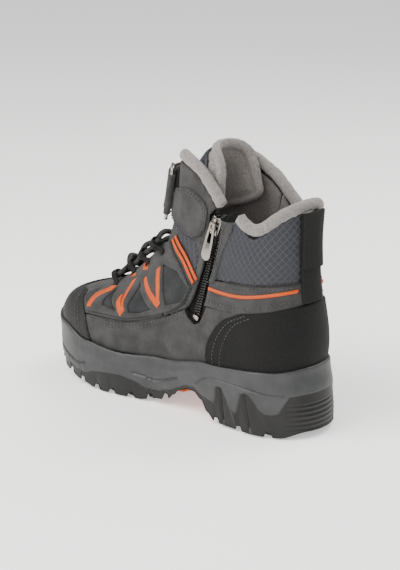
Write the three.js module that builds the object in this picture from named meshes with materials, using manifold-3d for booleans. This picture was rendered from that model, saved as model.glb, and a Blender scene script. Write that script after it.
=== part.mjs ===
// Child's winter hiking boot, right foot: zip on the inner (medial) side, hook-and-loop ankle strap,
// elastic lacing, padded tongue and collar, cemented lugged sole.
// Millimetres. Toe towards -Y, heel +Y, medial side +X, up +Z, ground at z = 0.
// The upper lies on one smooth "form", the outer skin of the boot. A place on it is (q, b):
// q runs round the boot, 0 at the heel's back, +-1 at the toe, positive on the medial side;
// b runs up from the feather line (0) to the top edge (1). Layers lie at depths t along its normal.
import * as THREE from 'three';
import { mergeVertices } from 'three/addons/utils/BufferGeometryUtils.js';
import Module from 'manifold-3d';

const wasm = await Module();
wasm.setup();

// ---- driving dimensions -------------------------------------------------------------------------
const SOLE_LENGTH = 236;       // heel bumper to toe of the sole
const SHAFT_HEIGHT = 150;      // from the feather line to the tip of the shaft
const BALL_WIDTH = 91;         // sole width at the ball of the foot
const GAP = 0.5;               // air kept between neighbouring pieces
const PANEL = 1.4;             // leather and textile panels
const LINING = 2.6;            // fleece with its foam
const ROLL_RADIUS = 3.6;       // padded roll on the collar's edge
const LIP_WALL = 2.2;          // rim of the midsole that laps the upper
const SOLE_WALL = 5;           // midsole's side wall outside the feather line
const LUG = 4;                 // tread depth
const ZIP_CHANNEL = 13;        // clear width between the panels beside the zip
const SLIDER_WIDTH = 9.6;
const SLIDER_LENGTH = 13;
const PULLER_LENGTH = 27;
const STRAP_WIDTH = 29;
const STRAP_THICK = 1.6;
const RING_LENGTH = 40;
const RING_WIDTH = 13;
const RING_WIRE = 2.4;
const WEBBING_WIDTH = 20;
const WEBBING_THICK = 1.2;
const LOOP_LENGTH = 38;
const LACE_RADIUS = 2;
const TONGUE_THICK = 9;

const COLOURS = {
  nubuck: 0x4d4e4f, black: 0x2a2a29, ripstop: 0x45474f, fleece: 0x8b8886, orange: 0xf26a21,
  midsole: 0x55585a, outsole: 0x2f2f2e, metal: 0x8a8280, silver: 0xb9b8b4, board: 0xb59b74,
};

// ---- the form -----------------------------------------------------------------------------------
const REF = { length: 236, height: 150, width: 91, feather: 33 };
const KY = SOLE_LENGTH / REF.length;
const KZ = SHAFT_HEIGHT / REF.height;
const KX = BALL_WIDTH / REF.width;
const rise = (z) => REF.feather + (z - REF.feather) * KZ;
const sideView = ([y, z]) => [y * KY, rise(z)];

// Front and back profiles in side view (y, z), from the feather line up, evenly spaced in b.
const FRONT = [[-106, 28], [-109.5, 42], [-104.5, 55], [-91, 62.5], [-71, 67.5], [-50, 77], [-32, 92],
  [-17, 111], [-7.5, 134], [-2, 158], [2, 182]].map(sideView);
const BACK = [[109, 33], [111.5, 46], [112.5, 56], [112, 67], [110.5, 79], [109, 91], [107.5, 104],
  [106.5, 117], [106, 130], [106.5, 143], [107.5, 156]].map(sideView);
// Half widths at the same levels.
const wide = (w) => w * KX;
const HEEL = [32, 33.5, 33.5, 33, 32, 31, 30.5, 30.5, 31, 32, 33].map(wide);
const WAIST_IN = [30, 32, 32, 31.5, 31, 30.7, 30.4, 30.2, 30, 30.5, 31].map(wide);
const WAIST_OUT = [36, 38, 38, 37, 35, 32.5, 30.5, 30, 30, 31, 32].map(wide);
const BALL_IN = [39, 41, 39, 35, 30, 28, 27, 26.5, 27, 28, 29].map(wide);
const BALL_OUT = [41, 43, 42, 38, 33, 30.5, 28.5, 27.5, 27, 28, 29].map(wide);
const TOE_ROUND = [52, 54, 56, 56, 54, 46, 38, 34, 32, 31, 30].map((r) => r * KY);
const TOE_POWER = [2.3, 2.3, 2.2, 2.1, 2.1, 2.1, 2.1, 2.1, 2.1, 2.1, 2.1];
const HEEL_ROUND = 33 * KY;

function spline(table, b) {
  const last = table.length - 1;
  const x = Math.min(Math.max(b, 0), 1) * last;
  const i = Math.min(Math.floor(x), last - 1);
  const t = x - i;
  const at = (k) => {
    if (k < 0) return 2 * table[0] - table[1];
    return k > last ? 2 * table[last] - table[last - 1] : table[k];
  };
  const [p0, p1, p2, p3] = [at(i - 1), at(i), at(i + 1), at(i + 2)];
  return 0.5 * (2 * p1 + (p2 - p0) * t + (2 * p0 - 5 * p1 + 4 * p2 - p3) * t * t
    + (3 * p1 - p0 - 3 * p2 + p3) * t ** 3);
}

const profile = (table, b) => [spline(table.map((p) => p[0]), b), spline(table.map((p) => p[1]), b)];
const ease = (t) => t * t * (3 - 2 * t);
const roundEnd = (u, power) => (u < 1 ? (1 - (1 - u) ** power) ** (1 / power) : 1);

function halfWidth(tau, b, medial) {
  const stations = [0, 0.2, 0.47, 0.72, 1];
  const ball = spline(medial ? BALL_IN : BALL_OUT, b);
  const heel = spline(HEEL, b);
  const widths = [heel, heel, spline(medial ? WAIST_IN : WAIST_OUT, b), ball, ball * 0.96];
  let i = 0;
  while (i < 3 && tau > stations[i + 1]) i += 1;
  const t = ease(Math.min(Math.max((tau - stations[i]) / (stations[i + 1] - stations[i]), 0), 1));
  return widths[i] * (1 - t) + widths[i + 1] * t;
}

// A point of the form, with q wrapped into -1..1.
function form(q, b) {
  const turn = q - 2 * Math.round(q / 2);
  const medial = turn >= 0;
  const f = profile(FRONT, b);
  const k = profile(BACK, b);
  const depth = Math.hypot(f[0] - k[0], f[1] - k[1]);
  const tau = (1 - Math.cos(Math.PI * Math.abs(turn))) / 2;
  const heel = roundEnd(Math.min(tau * depth / HEEL_ROUND, 1), 2.1);
  const toe = roundEnd(Math.min((1 - tau) * depth / spline(TOE_ROUND, b), 1), spline(TOE_POWER, b));
  const w = halfWidth(tau, b, medial) * heel * toe;
  return new THREE.Vector3((medial ? 1 : -1) * w, k[0] + (f[0] - k[0]) * tau, k[1] + (f[1] - k[1]) * tau);
}

function normal(q, b) {
  const step = 0.015;
  const lo = Math.max(b - step, 0);
  const hi = Math.min(b + step, 1);
  const round = form(q + step, b).sub(form(q - step, b));
  const up = form(q, hi).sub(form(q, lo));
  return up.cross(round).normalize();
}

const onForm = (q, b, t = 0) => form(q, b).addScaledVector(normal(q, b), t);

// (q, b) of a point given in side view, in reference millimetres.
function domain([refY, refZ], side = 1) {
  const [y, z] = sideView([refY, refZ]);
  const miss = (b) => {
    const f = profile(FRONT, b);
    const k = profile(BACK, b);
    return (f[0] - k[0]) * (z - k[1]) - (f[1] - k[1]) * (y - k[0]);
  };
  let lo = 0;
  let hi = 1;
  for (let n = 0; n < 40; n += 1) {
    const mid = (lo + hi) / 2;
    if (miss(mid) < 0) lo = mid;
    else hi = mid;
  }
  const f = profile(FRONT, lo);
  const k = profile(BACK, lo);
  const tau = ((y - k[0]) * (f[0] - k[0]) + (z - k[1]) * (f[1] - k[1]))
    / ((f[0] - k[0]) ** 2 + (f[1] - k[1]) ** 2);
  const s = Math.acos(1 - 2 * Math.min(Math.max(tau, 0), 1)) / Math.PI;
  return [side * s, lo];
}

// ---- solids -------------------------------------------------------------------------------------
function solidFrom(positions, index) {
  const geometry = new THREE.BufferGeometry();
  geometry.setAttribute('position', new THREE.Float32BufferAttribute(positions, 3));
  geometry.setIndex(index);
  return outward(geometry);
}

function outward(geometry) {
  const p = geometry.attributes.position;
  const index = geometry.index.array;
  const [a, b, c] = [new THREE.Vector3(), new THREE.Vector3(), new THREE.Vector3()];
  let volume = 0;
  for (let i = 0; i < index.length; i += 3) {
    a.fromBufferAttribute(p, index[i]);
    b.fromBufferAttribute(p, index[i + 1]);
    c.fromBufferAttribute(p, index[i + 2]);
    volume += a.dot(b.cross(c));
  }
  if (volume < 0) {
    for (let i = 0; i < index.length; i += 3) {
      const swap = index[i];
      index[i] = index[i + 1];
      index[i + 1] = swap;
    }
  }
  return geometry;
}

// A sheet with thickness: two grids of (nu + 1) x (nv + 1) points joined round their edges.
function sheetSolid(nu, nv, outer, inner) {
  const positions = [];
  for (const face of [outer, inner]) {
    for (let i = 0; i <= nu; i += 1) {
      for (let j = 0; j <= nv; j += 1) positions.push(...face(i / nu, j / nv).toArray());
    }
  }
  const at = (layer, i, j) => layer * (nu + 1) * (nv + 1) + i * (nv + 1) + j;
  const index = [];
  const quad = (a, b, c, d) => index.push(a, b, d, b, c, d);
  for (let i = 0; i < nu; i += 1) {
    for (let j = 0; j < nv; j += 1) {
      quad(at(0, i, j), at(0, i + 1, j), at(0, i + 1, j + 1), at(0, i, j + 1));
      quad(at(1, i, j + 1), at(1, i + 1, j + 1), at(1, i + 1, j), at(1, i, j));
    }
    quad(at(0, i + 1, 0), at(0, i, 0), at(1, i, 0), at(1, i + 1, 0));
    quad(at(0, i, nv), at(0, i + 1, nv), at(1, i + 1, nv), at(1, i, nv));
  }
  for (let j = 0; j < nv; j += 1) {
    quad(at(0, 0, j), at(0, 0, j + 1), at(1, 0, j + 1), at(1, 0, j));
    quad(at(0, nu, j + 1), at(0, nu, j), at(1, nu, j), at(1, nu, j + 1));
  }
  return solidFrom(positions, index);
}

function toManifold(geometry) {
  let bare = geometry.clone();
  bare.deleteAttribute('normal');
  bare.deleteAttribute('uv');
  bare = mergeVertices(bare, 1e-4);
  const mesh = new wasm.Mesh({
    numProp: 3,
    vertProperties: new Float32Array(bare.attributes.position.array),
    triVerts: new Uint32Array(bare.index.array),
  });
  return new wasm.Manifold(mesh);
}

function fromManifold(solid) {
  const mesh = solid.getMesh();
  return solidFrom(Array.from(mesh.vertProperties), Array.from(mesh.triVerts));
}

function joined(parts) {
  return fromManifold(parts.map(toManifold).reduce((sum, part) => sum.add(part)));
}

// Panels are cut flat in (q, b) and then laid on the form. A faint dish keeps the flat grid's
// vertices in place while it is cut.
const COLUMNS = 18;            // grid cells from heel to toe on one side
const ROWS = 10;
const FLAT_Q = 150;
const FLAT_B = 125;
const DISH = 0.0005;
const dish = (x, y) => DISH * (x * x + y * y);
const nodes = new Map();

function gridNode(i, j) {
  const key = `${i},${j}`;
  if (!nodes.has(key)) {
    const [q, b] = [i / COLUMNS, j / ROWS];
    nodes.set(key, { point: form(q, b), normal: normal(q, b) });
  }
  return nodes.get(key);
}

function lay(x, y, z) {
  const u = x / FLAT_Q * COLUMNS;
  const v = Math.min(Math.max(y / FLAT_B * ROWS, 0), ROWS);
  const i = Math.floor(u);
  const j = Math.min(Math.floor(v), ROWS - 1);
  const [fu, fv] = [u - i, v - j];
  const parts = fu + fv <= 1
    ? [[gridNode(i, j), 1 - fu - fv], [gridNode(i + 1, j), fu], [gridNode(i, j + 1), fv]]
    : [[gridNode(i + 1, j + 1), fu + fv - 1], [gridNode(i + 1, j), 1 - fv], [gridNode(i, j + 1), 1 - fu]];
  const t = z - dish(x, y);
  const out = new THREE.Vector3();
  for (const [node, share] of parts) {
    out.addScaledVector(node.point, share).addScaledVector(node.normal, share * t);
  }
  return out;
}

function prism(outline) {
  const corners = outline.map(([q, b]) => new THREE.Vector2(q * FLAT_Q, b * FLAT_B));
  const shape = new THREE.Shape(corners.filter((p, i) => p.distanceTo(corners.at(i - 1)) > 0.05));
  const geometry = new THREE.ExtrudeGeometry(shape, { depth: 160, bevelEnabled: false });
  geometry.translate(0, 0, -30);
  return toManifold(geometry);
}

// outline and holes are (q, b) polygons; t0 and t1 are the layer's inner and outer depth.
function panel(outline, t0, t1, holes = []) {
  const qs = outline.map((p) => p[0] * COLUMNS);
  const bs = outline.map((p) => p[1] * ROWS);
  const i0 = Math.floor(Math.min(...qs));
  const i1 = Math.ceil(Math.max(...qs));
  const j0 = Math.max(Math.floor(Math.min(...bs)), 0);
  const j1 = Math.min(Math.ceil(Math.max(...bs)), ROWS);
  const face = (t) => (u, v) => {
    const x = (i0 + (i1 - i0) * u) / COLUMNS * FLAT_Q;
    const y = (j0 + (j1 - j0) * v) / ROWS * FLAT_B;
    return new THREE.Vector3(x, y, t + dish(x, y));
  };
  let flat = toManifold(sheetSolid(i1 - i0, j1 - j0, face(t1), face(t0))).intersect(prism(outline));
  for (const hole of holes) flat = flat.subtract(prism(hole));
  const mesh = flat.getMesh();
  const positions = [];
  for (let i = 0; i < mesh.vertProperties.length; i += 3) {
    positions.push(...lay(...mesh.vertProperties.slice(i, i + 3)).toArray());
  }
  return solidFrom(positions, Array.from(mesh.triVerts));
}

// Depths of the layers.
const BASE = [-1 - PANEL, -1];
const OVER = [BASE[1] + GAP, BASE[1] + GAP + PANEL];
const LIP_CLEAR = OVER[1] + 0.8; // inner face of the midsole's rim, clear of the overlays
const STRAP_IN = [OVER[1] + GAP + 0.3, OVER[1] + GAP + 0.3 + STRAP_THICK];
const FLEECE = [BASE[0] - 2 * GAP - LINING, BASE[0] - 2 * GAP];

// Rounds a polyline of side-view points.
function flowing(points, steps = 3) {
  const curve = new THREE.CatmullRomCurve3(points.map(([y, z]) => new THREE.Vector3(0, y, z)));
  return curve.getPoints(steps * (points.length - 1)).map((p) => [p.y, p.z]);
}

const medial = (points) => points.map((p) => domain(p, 1));
const lateral = (points) => points.map((p) => domain(p, -1));
const mirrored = (outline) => outline.map(([q, b]) => [-q, b]);
const shifted = (points, dy, dz) => points.map(([y, z]) => [y + dy, z + dz]);

// ---- seams, in side view ------------------------------------------------------------------------
const FOOT = 0.004;            // b of the upper's lower edge
const TOE_SEAM = flowing([[-55, 20], [-60, 42], [-66, 54], [-80, 63]]);
const TOE_SEAM_TOP = [-97, 59.8];
const COUNTER_FRONT = flowing([[45, 30], [46, 53], [57, 71], [74, 80.5]]);
const COUNTER_BACK = [109.3, 89];
const LOWER_SEAM = flowing([[-62, 52], [-24, 53.5], [4, 62], [22, 71]]);
const ZIP_LOW = [32.3, 70.2];
const ZIP_HIGH = [51, 145];
const COLLAR_IN = flowing([[70, 143.5], [76, 137.5], [82, 134], [90, 139], [98, 147], [105, 151.5]]);
const COLLAR_OUT = flowing([[20, 176], [40, 168], [58, 157], [70, 144], [82, 138], [92, 142], [98, 147.5],
  [105, 151.5]]);
const FLAP_TOP = flowing([[14, 176.5], [33, 171], [44, 161], [54, 149.5]]);
const WING_REAR = [[29, 90], [20, 98.5], [12, 107], [4, 116]];

const zipLine = (offset) => {
  const [[y0, z0], [y1, z1]] = [ZIP_LOW, ZIP_HIGH];
  const length = Math.hypot(y1 - y0, z1 - z0);
  const [ny, nz] = [(z1 - z0) / length * offset, -(y1 - y0) / length * offset];
  return [[y0 + ny, z0 + nz], [y1 + ny, z1 + nz]];
};

const group = new THREE.Group();

function add(name, geometry, colour, { roughness = 0.8, metalness = 0, matrix = null } = {}) {
  const material = new THREE.MeshStandardMaterial({ color: COLOURS[colour], roughness, metalness });
  const mesh = new THREE.Mesh(geometry, material);
  mesh.name = name;
  if (matrix) matrix.decompose(mesh.position, mesh.quaternion, mesh.scale);
  group.add(mesh);
  return mesh;
}

// ---- upper: outer layer, stiffeners and overlays ---------------------------------------------------
const SEAM = 0.0028;           // half gap between butted panels, in q and b
// A seam that starts at the upper's lower edge: (q, b) points from that edge up.
function fromFoot(points) {
  const flat = points.map((p) => domain(p));
  const first = flat.findIndex(([, b]) => b > FOOT);
  return [[flat[Math.max(first - 1, 0)][0], FOOT], ...flat.slice(first)];
}
const capHalf = fromFoot(TOE_SEAM);
const cap = [...capHalf, domain(TOE_SEAM_TOP), ...capHalf.map(([q, b]) => [2 - q, b]).reverse()];
cap[capHalf.length][0] = 1;
const inside = (outline, middle) => outline.filter(([, b]) => b === FOOT || b > FOOT + 0.015).map(([q, b]) => [
  middle + (q - middle) * 0.97, b === FOOT ? FOOT : b - 0.008]);
add('toe_cap', panel(cap, ...OVER), 'black');
add('toe_puff', panel(inside(cap, 1), ...BASE), 'board');

const counterHalf = fromFoot(COUNTER_FRONT);
const counter = [...counterHalf, [0, domain(COUNTER_BACK)[1]], ...mirrored(counterHalf).reverse()];
add('heel_counter', panel(counter, ...OVER), 'black');
add('heel_stiffener', panel(inside(counter, 0), ...BASE), 'board');

const throatFoot = domain([-58, 72.5]);
const vampSide = [...[[-59, 54], [-24, 53.5], [4, 62]].map((p) => domain(p)).map(([q, b]) => [q, b + SEAM]),
  ...[[-3, 110], [-19, 96], [-38, 82.5]].map((p) => domain(p))];
const capRim = inside(cap, 1).map(([q, b]) => [q, b + 0.014]).filter(([, b]) => b > vampSide[0][1] + 0.01);
add('vamp', panel([...vampSide, throatFoot, [2 - throatFoot[0], throatFoot[1]],
  ...vampSide.map(([q, b]) => [2 - q, b]).reverse(), ...capRim.reverse()], ...BASE), 'nubuck');

function quarter(side) {
  const seam = LOWER_SEAM.map((p) => domain(p)).map(([q, b]) => [q, b - SEAM]);
  const front = inside(capHalf, 1).map(([q, b]) => [q - 0.006, b]).filter(([, b]) => b < seam[0][1]);
  const rear = inside(counterHalf, 0).map(([q, b]) => [q + 0.006, b]);
  const zip = side > 0
    ? [domain([26.5, 67]), domain([32, 63.5]), domain([38, 66.5]), domain([42, 79])]
    : [domain([34, 76]), domain([44, 79])];
  const outline = [...front, ...seam, ...zip, ...rear.reverse()];
  return side > 0 ? outline : mirrored(outline);
}
add('quarter_medial', panel(quarter(1), ...BASE), 'nubuck');
add('quarter_lateral', panel(quarter(-1), ...BASE), 'nubuck');

const ZIP_HALF = ZIP_CHANNEL / 2;
const rearZip = zipLine(ZIP_HALF);
const SLIDER_ROOM = 2.2;       // extra room in front of the chain, where the shaft curves over it
const frontZip = zipLine(-ZIP_HALF - SLIDER_ROOM);
const along = ([[y0, z0], [y1, z1]], z) => [y0 + (y1 - y0) * (z - z0) / (z1 - z0), z];

function band(side) {
  const front = side > 0 ? [along(rearZip, 97.5), along(rearZip, 81)] : [[44, 97.5], [44, 81]];
  const outline = [...front, [60, 81.5], [76, 82.5], [108, 91.5], [108, 102], [72, 98]];
  const flat = outline.map((p) => domain(p));
  flat[4][0] = 0.02;
  flat[5][0] = 0.02;
  return side > 0 ? flat : mirrored(flat);
}
add('ankle_band_medial', panel(band(1), ...BASE), 'nubuck');
add('ankle_band_lateral', panel(band(-1), ...BASE), 'nubuck');

const below = ROLL_RADIUS + 2;
const liningBelow = below + 1.5;
function collarPanel(side) {
  const top = shifted(side > 0 ? COLLAR_IN : COLLAR_OUT.slice(6), 0, -below);
  const front = side > 0 ? [along(rearZip, 99), along(rearZip, 136)] : [[44, 99], [53, 136]];
  const flat = [...front, ...top, [107, 147], [108, 104.5], [72, 100.5]].map((p) => domain(p));
  flat[flat.length - 3][0] = 0.02;
  flat[flat.length - 2][0] = 0.02;
  return side > 0 ? flat : mirrored(flat);
}
add('collar_panel_medial', panel(collarPanel(1), ...BASE), 'ripstop');
add('collar_panel_lateral', panel(collarPanel(-1), ...BASE), 'ripstop');

function shaftFront(side) {
  const rear = side > 0
    ? [along(frontZip, 138), along(frontZip, 76)]
    : [[51, 134], [42, 98], [42, 80.5]];
  const top = side > 0
    ? shifted(FLAP_TOP, -2, -below).slice(0, -1)
    : shifted(COLLAR_OUT.slice(0, 6), -2, -below);
  const throat = [[-1, 112], [8, 134], [11, 150]];
  const low = side > 0 ? [[23, 73.5], [6, 64.5]] : [[33, 78], [22, 73.5], [6, 64.5]];
  const outline = [...throat, ...top, ...rear, ...low].map((p) => domain(p));
  return side > 0 ? outline : mirrored(outline);
}
add('shaft_front_medial', panel(shaftFront(1), ...BASE), 'nubuck');
add('shaft_front_lateral', panel(shaftFront(-1), ...BASE), 'nubuck');

const WINDOWS = [
  [[-53, 60], [-33, 60.5], [-39, 74]],
  [[-26, 61], [-7, 65], [-18, 85]],
  [[4, 70], [24, 79], [14, 92], [2, 92]],
];
function wing(side) {
  const lower = [[-64, 55], [-44, 56.5], [-24, 57], [-2, 63], [22, 76]];
  const throat = [[-3.5, 112], [-19, 98.5], [-38, 84.5], [-56, 73.5]];
  const outline = [...lower, ...WING_REAR, ...throat].map((p) => domain(p));
  return side > 0 ? outline : mirrored(outline);
}
for (const [name, side] of [['medial', 1], ['lateral', -1]]) {
  const holes = WINDOWS.map((w) => w.map((p) => domain(p, side)));
  add(`wing_${name}`, panel(wing(side), ...OVER, holes), 'nubuck');
}

// Orange piping: a stripe on the ankle band and a double stripe behind the wing.
function stripe(points, width, side) {
  const up = points.map(([y, z]) => domain([y, z + width / 2], side));
  const down = points.map(([y, z]) => domain([y, z - width / 2], side)).reverse();
  return panel([...up, ...down], ...OVER);
}
for (const [name, side] of [['medial', 1], ['lateral', -1]]) {
  add(`ankle_piping_${name}`, stripe([[50, 90.5], [73, 91], [98, 95.5]], 2.6, side), 'orange');
  const lines = [[6.5, 117.5], [14.5, 109], [22.5, 101], [31, 92.5]].map((p) => domain(p, side));
  const back = [[33.5, 95], [25.5, 103.5], [17.5, 111.5], [9.5, 119.5]].map((p) => domain(p, side));
  add(`wing_piping_${name}`, panel([...lines, ...back], ...OVER), 'orange');
}

// ---- lining -----------------------------------------------------------------------------------------
const zipClear = 6.5;
const liningZip = (z) => domain(along(zipLine(ZIP_HALF + zipClear), z));
const liningRear = [
  liningZip(72), liningZip(132), ...medial(shifted(COLLAR_IN, 0, -liningBelow)),
  [0, domain([107, 151 - liningBelow])[1]],
  ...mirrored(medial(shifted(COLLAR_OUT.slice(6), 0, -liningBelow))).reverse(),
];
const LINING_JOIN = 0.43;
const liningSole = [[-LINING_JOIN - 0.02, 0.75], [-LINING_JOIN, FOOT], [LINING_JOIN, FOOT]];
add('lining_rear', panel([...liningRear, ...liningSole], ...FLEECE), 'fleece');
const instep = [[8, 62], [-4, 108], [-19, 94], [-38, 81]].map((p) => domain(p));
const foreSide = [[LINING_JOIN + 0.008, FOOT], [LINING_JOIN + 0.008, 0.24], ...instep, throatFoot];
add('lining_forefoot', panel([...foreSide, ...foreSide.map(([q, b]) => [2 - q, b]).reverse()], ...FLEECE),
  'fleece');
function liningFront(side) {
  const top = shifted(side > 0 ? FLAP_TOP.slice(0, -2) : COLLAR_OUT.slice(0, 5), -3, -liningBelow);
  const rear = side > 0
    ? [along(zipLine(-ZIP_HALF - zipClear), 133), along(zipLine(-ZIP_HALF - zipClear), 70)]
    : [[34, 140], [32, 98], [27, 66]];
  const outline = [[10, 63.5], [-2, 108], [8, 134], [11, 150], ...top, ...rear].map((p) => domain(p));
  return side > 0 ? outline : mirrored(outline);
}
add('lining_front_medial', panel(liningFront(1), ...FLEECE), 'fleece');
add('lining_front_lateral', panel(liningFront(-1), ...FLEECE), 'fleece');

// ---- tongue, collar rolls ---------------------------------------------------------------------------
// A padded cord or lace: a regular section of given radius swept along smooth points.
function sweep(points, radius, sides, steps) {
  const section = new THREE.Shape(Array.from({ length: sides }, (_, i) => {
    const angle = 2 * Math.PI * (i + 0.5) / sides;
    return new THREE.Vector2(radius * Math.cos(angle), radius * Math.sin(angle));
  }));
  return new THREE.ExtrudeGeometry(section, {
    steps, extrudePath: new THREE.CatmullRomCurve3(points, false, 'centripetal'), bevelEnabled: false });
}

const rollDepth = -ROLL_RADIUS + 0.4;
const edgePoint = (p, side) => onForm(...domain(p, side), rollDepth);
const rim = [
  ...COLLAR_IN.filter((_, i) => i % 3 === 0).map((p) => edgePoint(p, 1)),
  onForm(0, domain([107, 153.5])[1], rollDepth),
  ...COLLAR_OUT.filter((_, i) => i % 3 === 0).map((p) => edgePoint(p, -1)).reverse(),
];
add('collar_roll', sweep(rim, ROLL_RADIUS, 8, 32), 'fleece');
add('front_roll', sweep(FLAP_TOP.filter((_, i) => i % 3 === 0).map((p) => edgePoint(p, 1)), ROLL_RADIUS, 8, 8),
  'fleece');

// The tongue is one padded piece; its top part bends on the line where the strap holds it.
const TONGUE_SPLIT = 0.6;
const TONGUE_LINE = [[-42, 69], [-22, 87], [-7, 109], [1, 131], [6, 149], [14, 166], [31, 186]].map(sideView);
const TONGUE_HALF = [10, 12, 14, 16, 17.5, 20, 22.5].map(wide);
const TONGUE_CURL = [2, 4, 7, 9, 11, 14, 16];
function tongueFace(v0, v1, lift) {
  return (u, v) => {
    const along01 = v0 + (v1 - v0) * v;
    const across = 2 * u - 1;
    const y = spline(TONGUE_LINE.map((p) => p[0]), along01);
    const z = spline(TONGUE_LINE.map((p) => p[1]), along01);
    const dy = spline(TONGUE_LINE.map((p) => p[0]), Math.min(along01 + 0.02, 1)) - y || 0.35;
    const dz = spline(TONGUE_LINE.map((p) => p[1]), Math.min(along01 + 0.02, 1)) - z || 0.35;
    const half = spline(TONGUE_HALF, along01);
    const curl = spline(TONGUE_CURL, along01) * across * across;
    const drop = along01 > 0.75 ? (along01 - 0.75) * 4 * (across < 0 ? 13 : 4) * across * across : 0;
    const size = Math.hypot(dy, dz);
    const angle = Math.atan(2 * curl / half) * Math.sign(across) * Math.abs(across);
    const out = new THREE.Vector3(Math.sin(angle), -dz / size * Math.cos(angle), dy / size * Math.cos(angle));
    return new THREE.Vector3(across * half, y + curl, z - drop).addScaledVector(out, lift);
  };
}
const tongue = (v0, v1, rows) => sheetSolid(10, rows,
  tongueFace(v0, v1, 0), tongueFace(v0, v1, -TONGUE_THICK));
add('tongue_lower', tongue(0, TONGUE_SPLIT, 7), 'nubuck');
add('tongue_upper', tongue(TONGUE_SPLIT + 0.008, 1, 5), 'fleece');

// ---- sole -----------------------------------------------------------------------------------------
// Levels of the sole in side view (y, z), from heel to toe.
const level = (points) => {
  const placed = points.map(([y, z]) => [y * KY, z]);
  return (y) => {
    let i = 0;
    while (i < placed.length - 2 && y < placed[i + 1][0]) i += 1;
    const t = Math.min(Math.max((y - placed[i][0]) / (placed[i + 1][0] - placed[i][0]), 0), 1);
    return placed[i][1] + (placed[i + 1][1] - placed[i][1]) * ease(t);
  };
};
const GROUND = level([[118, 6], [106, 0], [55, 0], [40, 5], [20, 8.5], [4, 4.5], [-14, 0], [-48, 0], [-64, 2.5],
  [-82, 6.5], [-100, 13], [-118, 21]]);
const SPLIT = level([[122, 12], [100, 8.5], [56, 8.5], [48, 13], [33, 20.5], [22, 16], [6, 12.5], [-17, 10],
  [-42, 14], [-62, 14], [-80, 14.5], [-98, 19.5], [-110, 24], [-118, 26]]);
const LIP = level([[120, 49], [95, 45], [48, 41], [6, 34], [-29, 31.5], [-61, 34.5], [-81, 41.5], [-112, 45]]);
const HEEL_FLARE = 7;
const SHANK_THICK = 2;
const SOLE_COLUMNS = 32;       // grid cells from heel to toe in every layer of the sole

// Plan of the sole at q: the feather line grown outwards, with the heel swept back.
function plan(q, out, flare = 0) {
  const n = normal(q, 0.02);
  const flat = new THREE.Vector2(n.x, n.y).normalize();
  const p = form(q, 0);
  const turn = Math.abs(q - 2 * Math.round(q / 2));
  const back = flare * Math.max(Math.cos(turn * Math.PI * 1.6), 0) * (turn < 0.32 ? 1 : 0);
  return new THREE.Vector2(p.x + flat.x * out, p.y + flat.y * out + back);
}

// A slab across the sole between two stations (s, 0 heel to 1 toe), top and bottom given by y.
function slab(s0, s1, out, top, bottom, { flare = 0, across = 6, inset = 0 } = {}) {
  const from = Math.round(s0 * SOLE_COLUMNS) + inset;
  const to = Math.round(s1 * SOLE_COLUMNS) - inset;
  const face = (height) => (u, v) => {
    const s = (from + (to - from) * u) / SOLE_COLUMNS;
    const inner = plan(s, out, flare);
    const outer = plan(-s, out, flare);
    const p = outer.lerp(inner, v);
    return new THREE.Vector3(p.x, p.y, height(p.y, v));
  };
  return sheetSolid(Math.ceil(to - from), across, face(top), face(bottom));
}

// Station s (0 heel, 1 toe) of a place along the sole, given in reference millimetres.
const station = (y) => Math.acos(1 - 2 * (BACK[0][0] - y * KY) / (BACK[0][0] - FRONT[0][0])) / Math.PI;
const HEEL_FRONT = 56;
const FOREFOOT_REAR = 21;

const lipB = (q) => {
  const y = form(q, 0).y;
  let b = 0;
  while (b < 0.3 && form(q, b).z < LIP(y)) b += 0.002;
  return b;
};

// The midsole is a tray: rings from the middle of its floor, over the lip and down to its underside.
const FLOOR_DROP = 1.2;        // the footbed's board lies this far below the feather line
function floorZ(y) {
  const t = (y - FRONT[0][0]) / (BACK[0][0] - FRONT[0][0]);
  return FRONT[0][1] + t * (BACK[0][1] - FRONT[0][1]) - FLOOR_DROP;
}
function midsole() {
  const count = 2 * SOLE_COLUMNS;
  const rings = [
    (q) => new THREE.Vector3(...plan(q, -1).toArray(), floorZ(form(q, 0).y)),
    (q) => onForm(q, 0, LIP_CLEAR).setZ(floorZ(form(q, 0).y) + 0.4),
    (q) => onForm(q, lipB(q) * 0.5, LIP_CLEAR),
    (q) => onForm(q, lipB(q), LIP_CLEAR),
    (q) => onForm(q, lipB(q), LIP_CLEAR + LIP_WALL).add(new THREE.Vector3(0, 0, -0.6)),
    (q) => new THREE.Vector3(...plan(q, SOLE_WALL + 0.6, 2).toArray(), form(q, 0).z + 2),
    (q) => {
      const p = plan(q, SOLE_WALL, HEEL_FLARE * 0.7);
      return new THREE.Vector3(p.x, p.y, (form(q, 0).z + SPLIT(p.y)) / 2);
    },
    (q) => {
      const p = plan(q, SOLE_WALL - 1, HEEL_FLARE);
      return new THREE.Vector3(p.x, p.y, SPLIT(p.y));
    },
  ];
  const qAt = (i) => 2 * i / count;
  const positions = [];
  for (const ring of rings) {
    for (let i = 0; i < count; i += 1) positions.push(...ring(qAt(i)).toArray());
  }
  const index = [];
  const at = (r, i) => r * count + (i + count) % count;
  for (let r = 0; r < rings.length - 1; r += 1) {
    for (let i = 0; i < count; i += 1) {
      index.push(at(r, i), at(r, i + 1), at(r + 1, i), at(r + 1, i), at(r, i + 1), at(r + 1, i + 1));
    }
  }
  const lastRing = rings.length - 1;
  for (let i = 0; i < count / 2; i += 1) {
    const strip = (r) => [at(r, i), at(r, i + 1), at(r, -i - 1), at(r, -i)];
    const [a, b, c, d] = strip(0);
    const [e, f, g, h] = strip(lastRing);
    if (i > 0) index.push(a, d, b, e, f, h);
    if (i < count / 2 - 1) index.push(b, d, c, f, g, h);
  }
  return solidFrom(positions, index);
}
add('midsole', midsole(), 'midsole');

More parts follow.
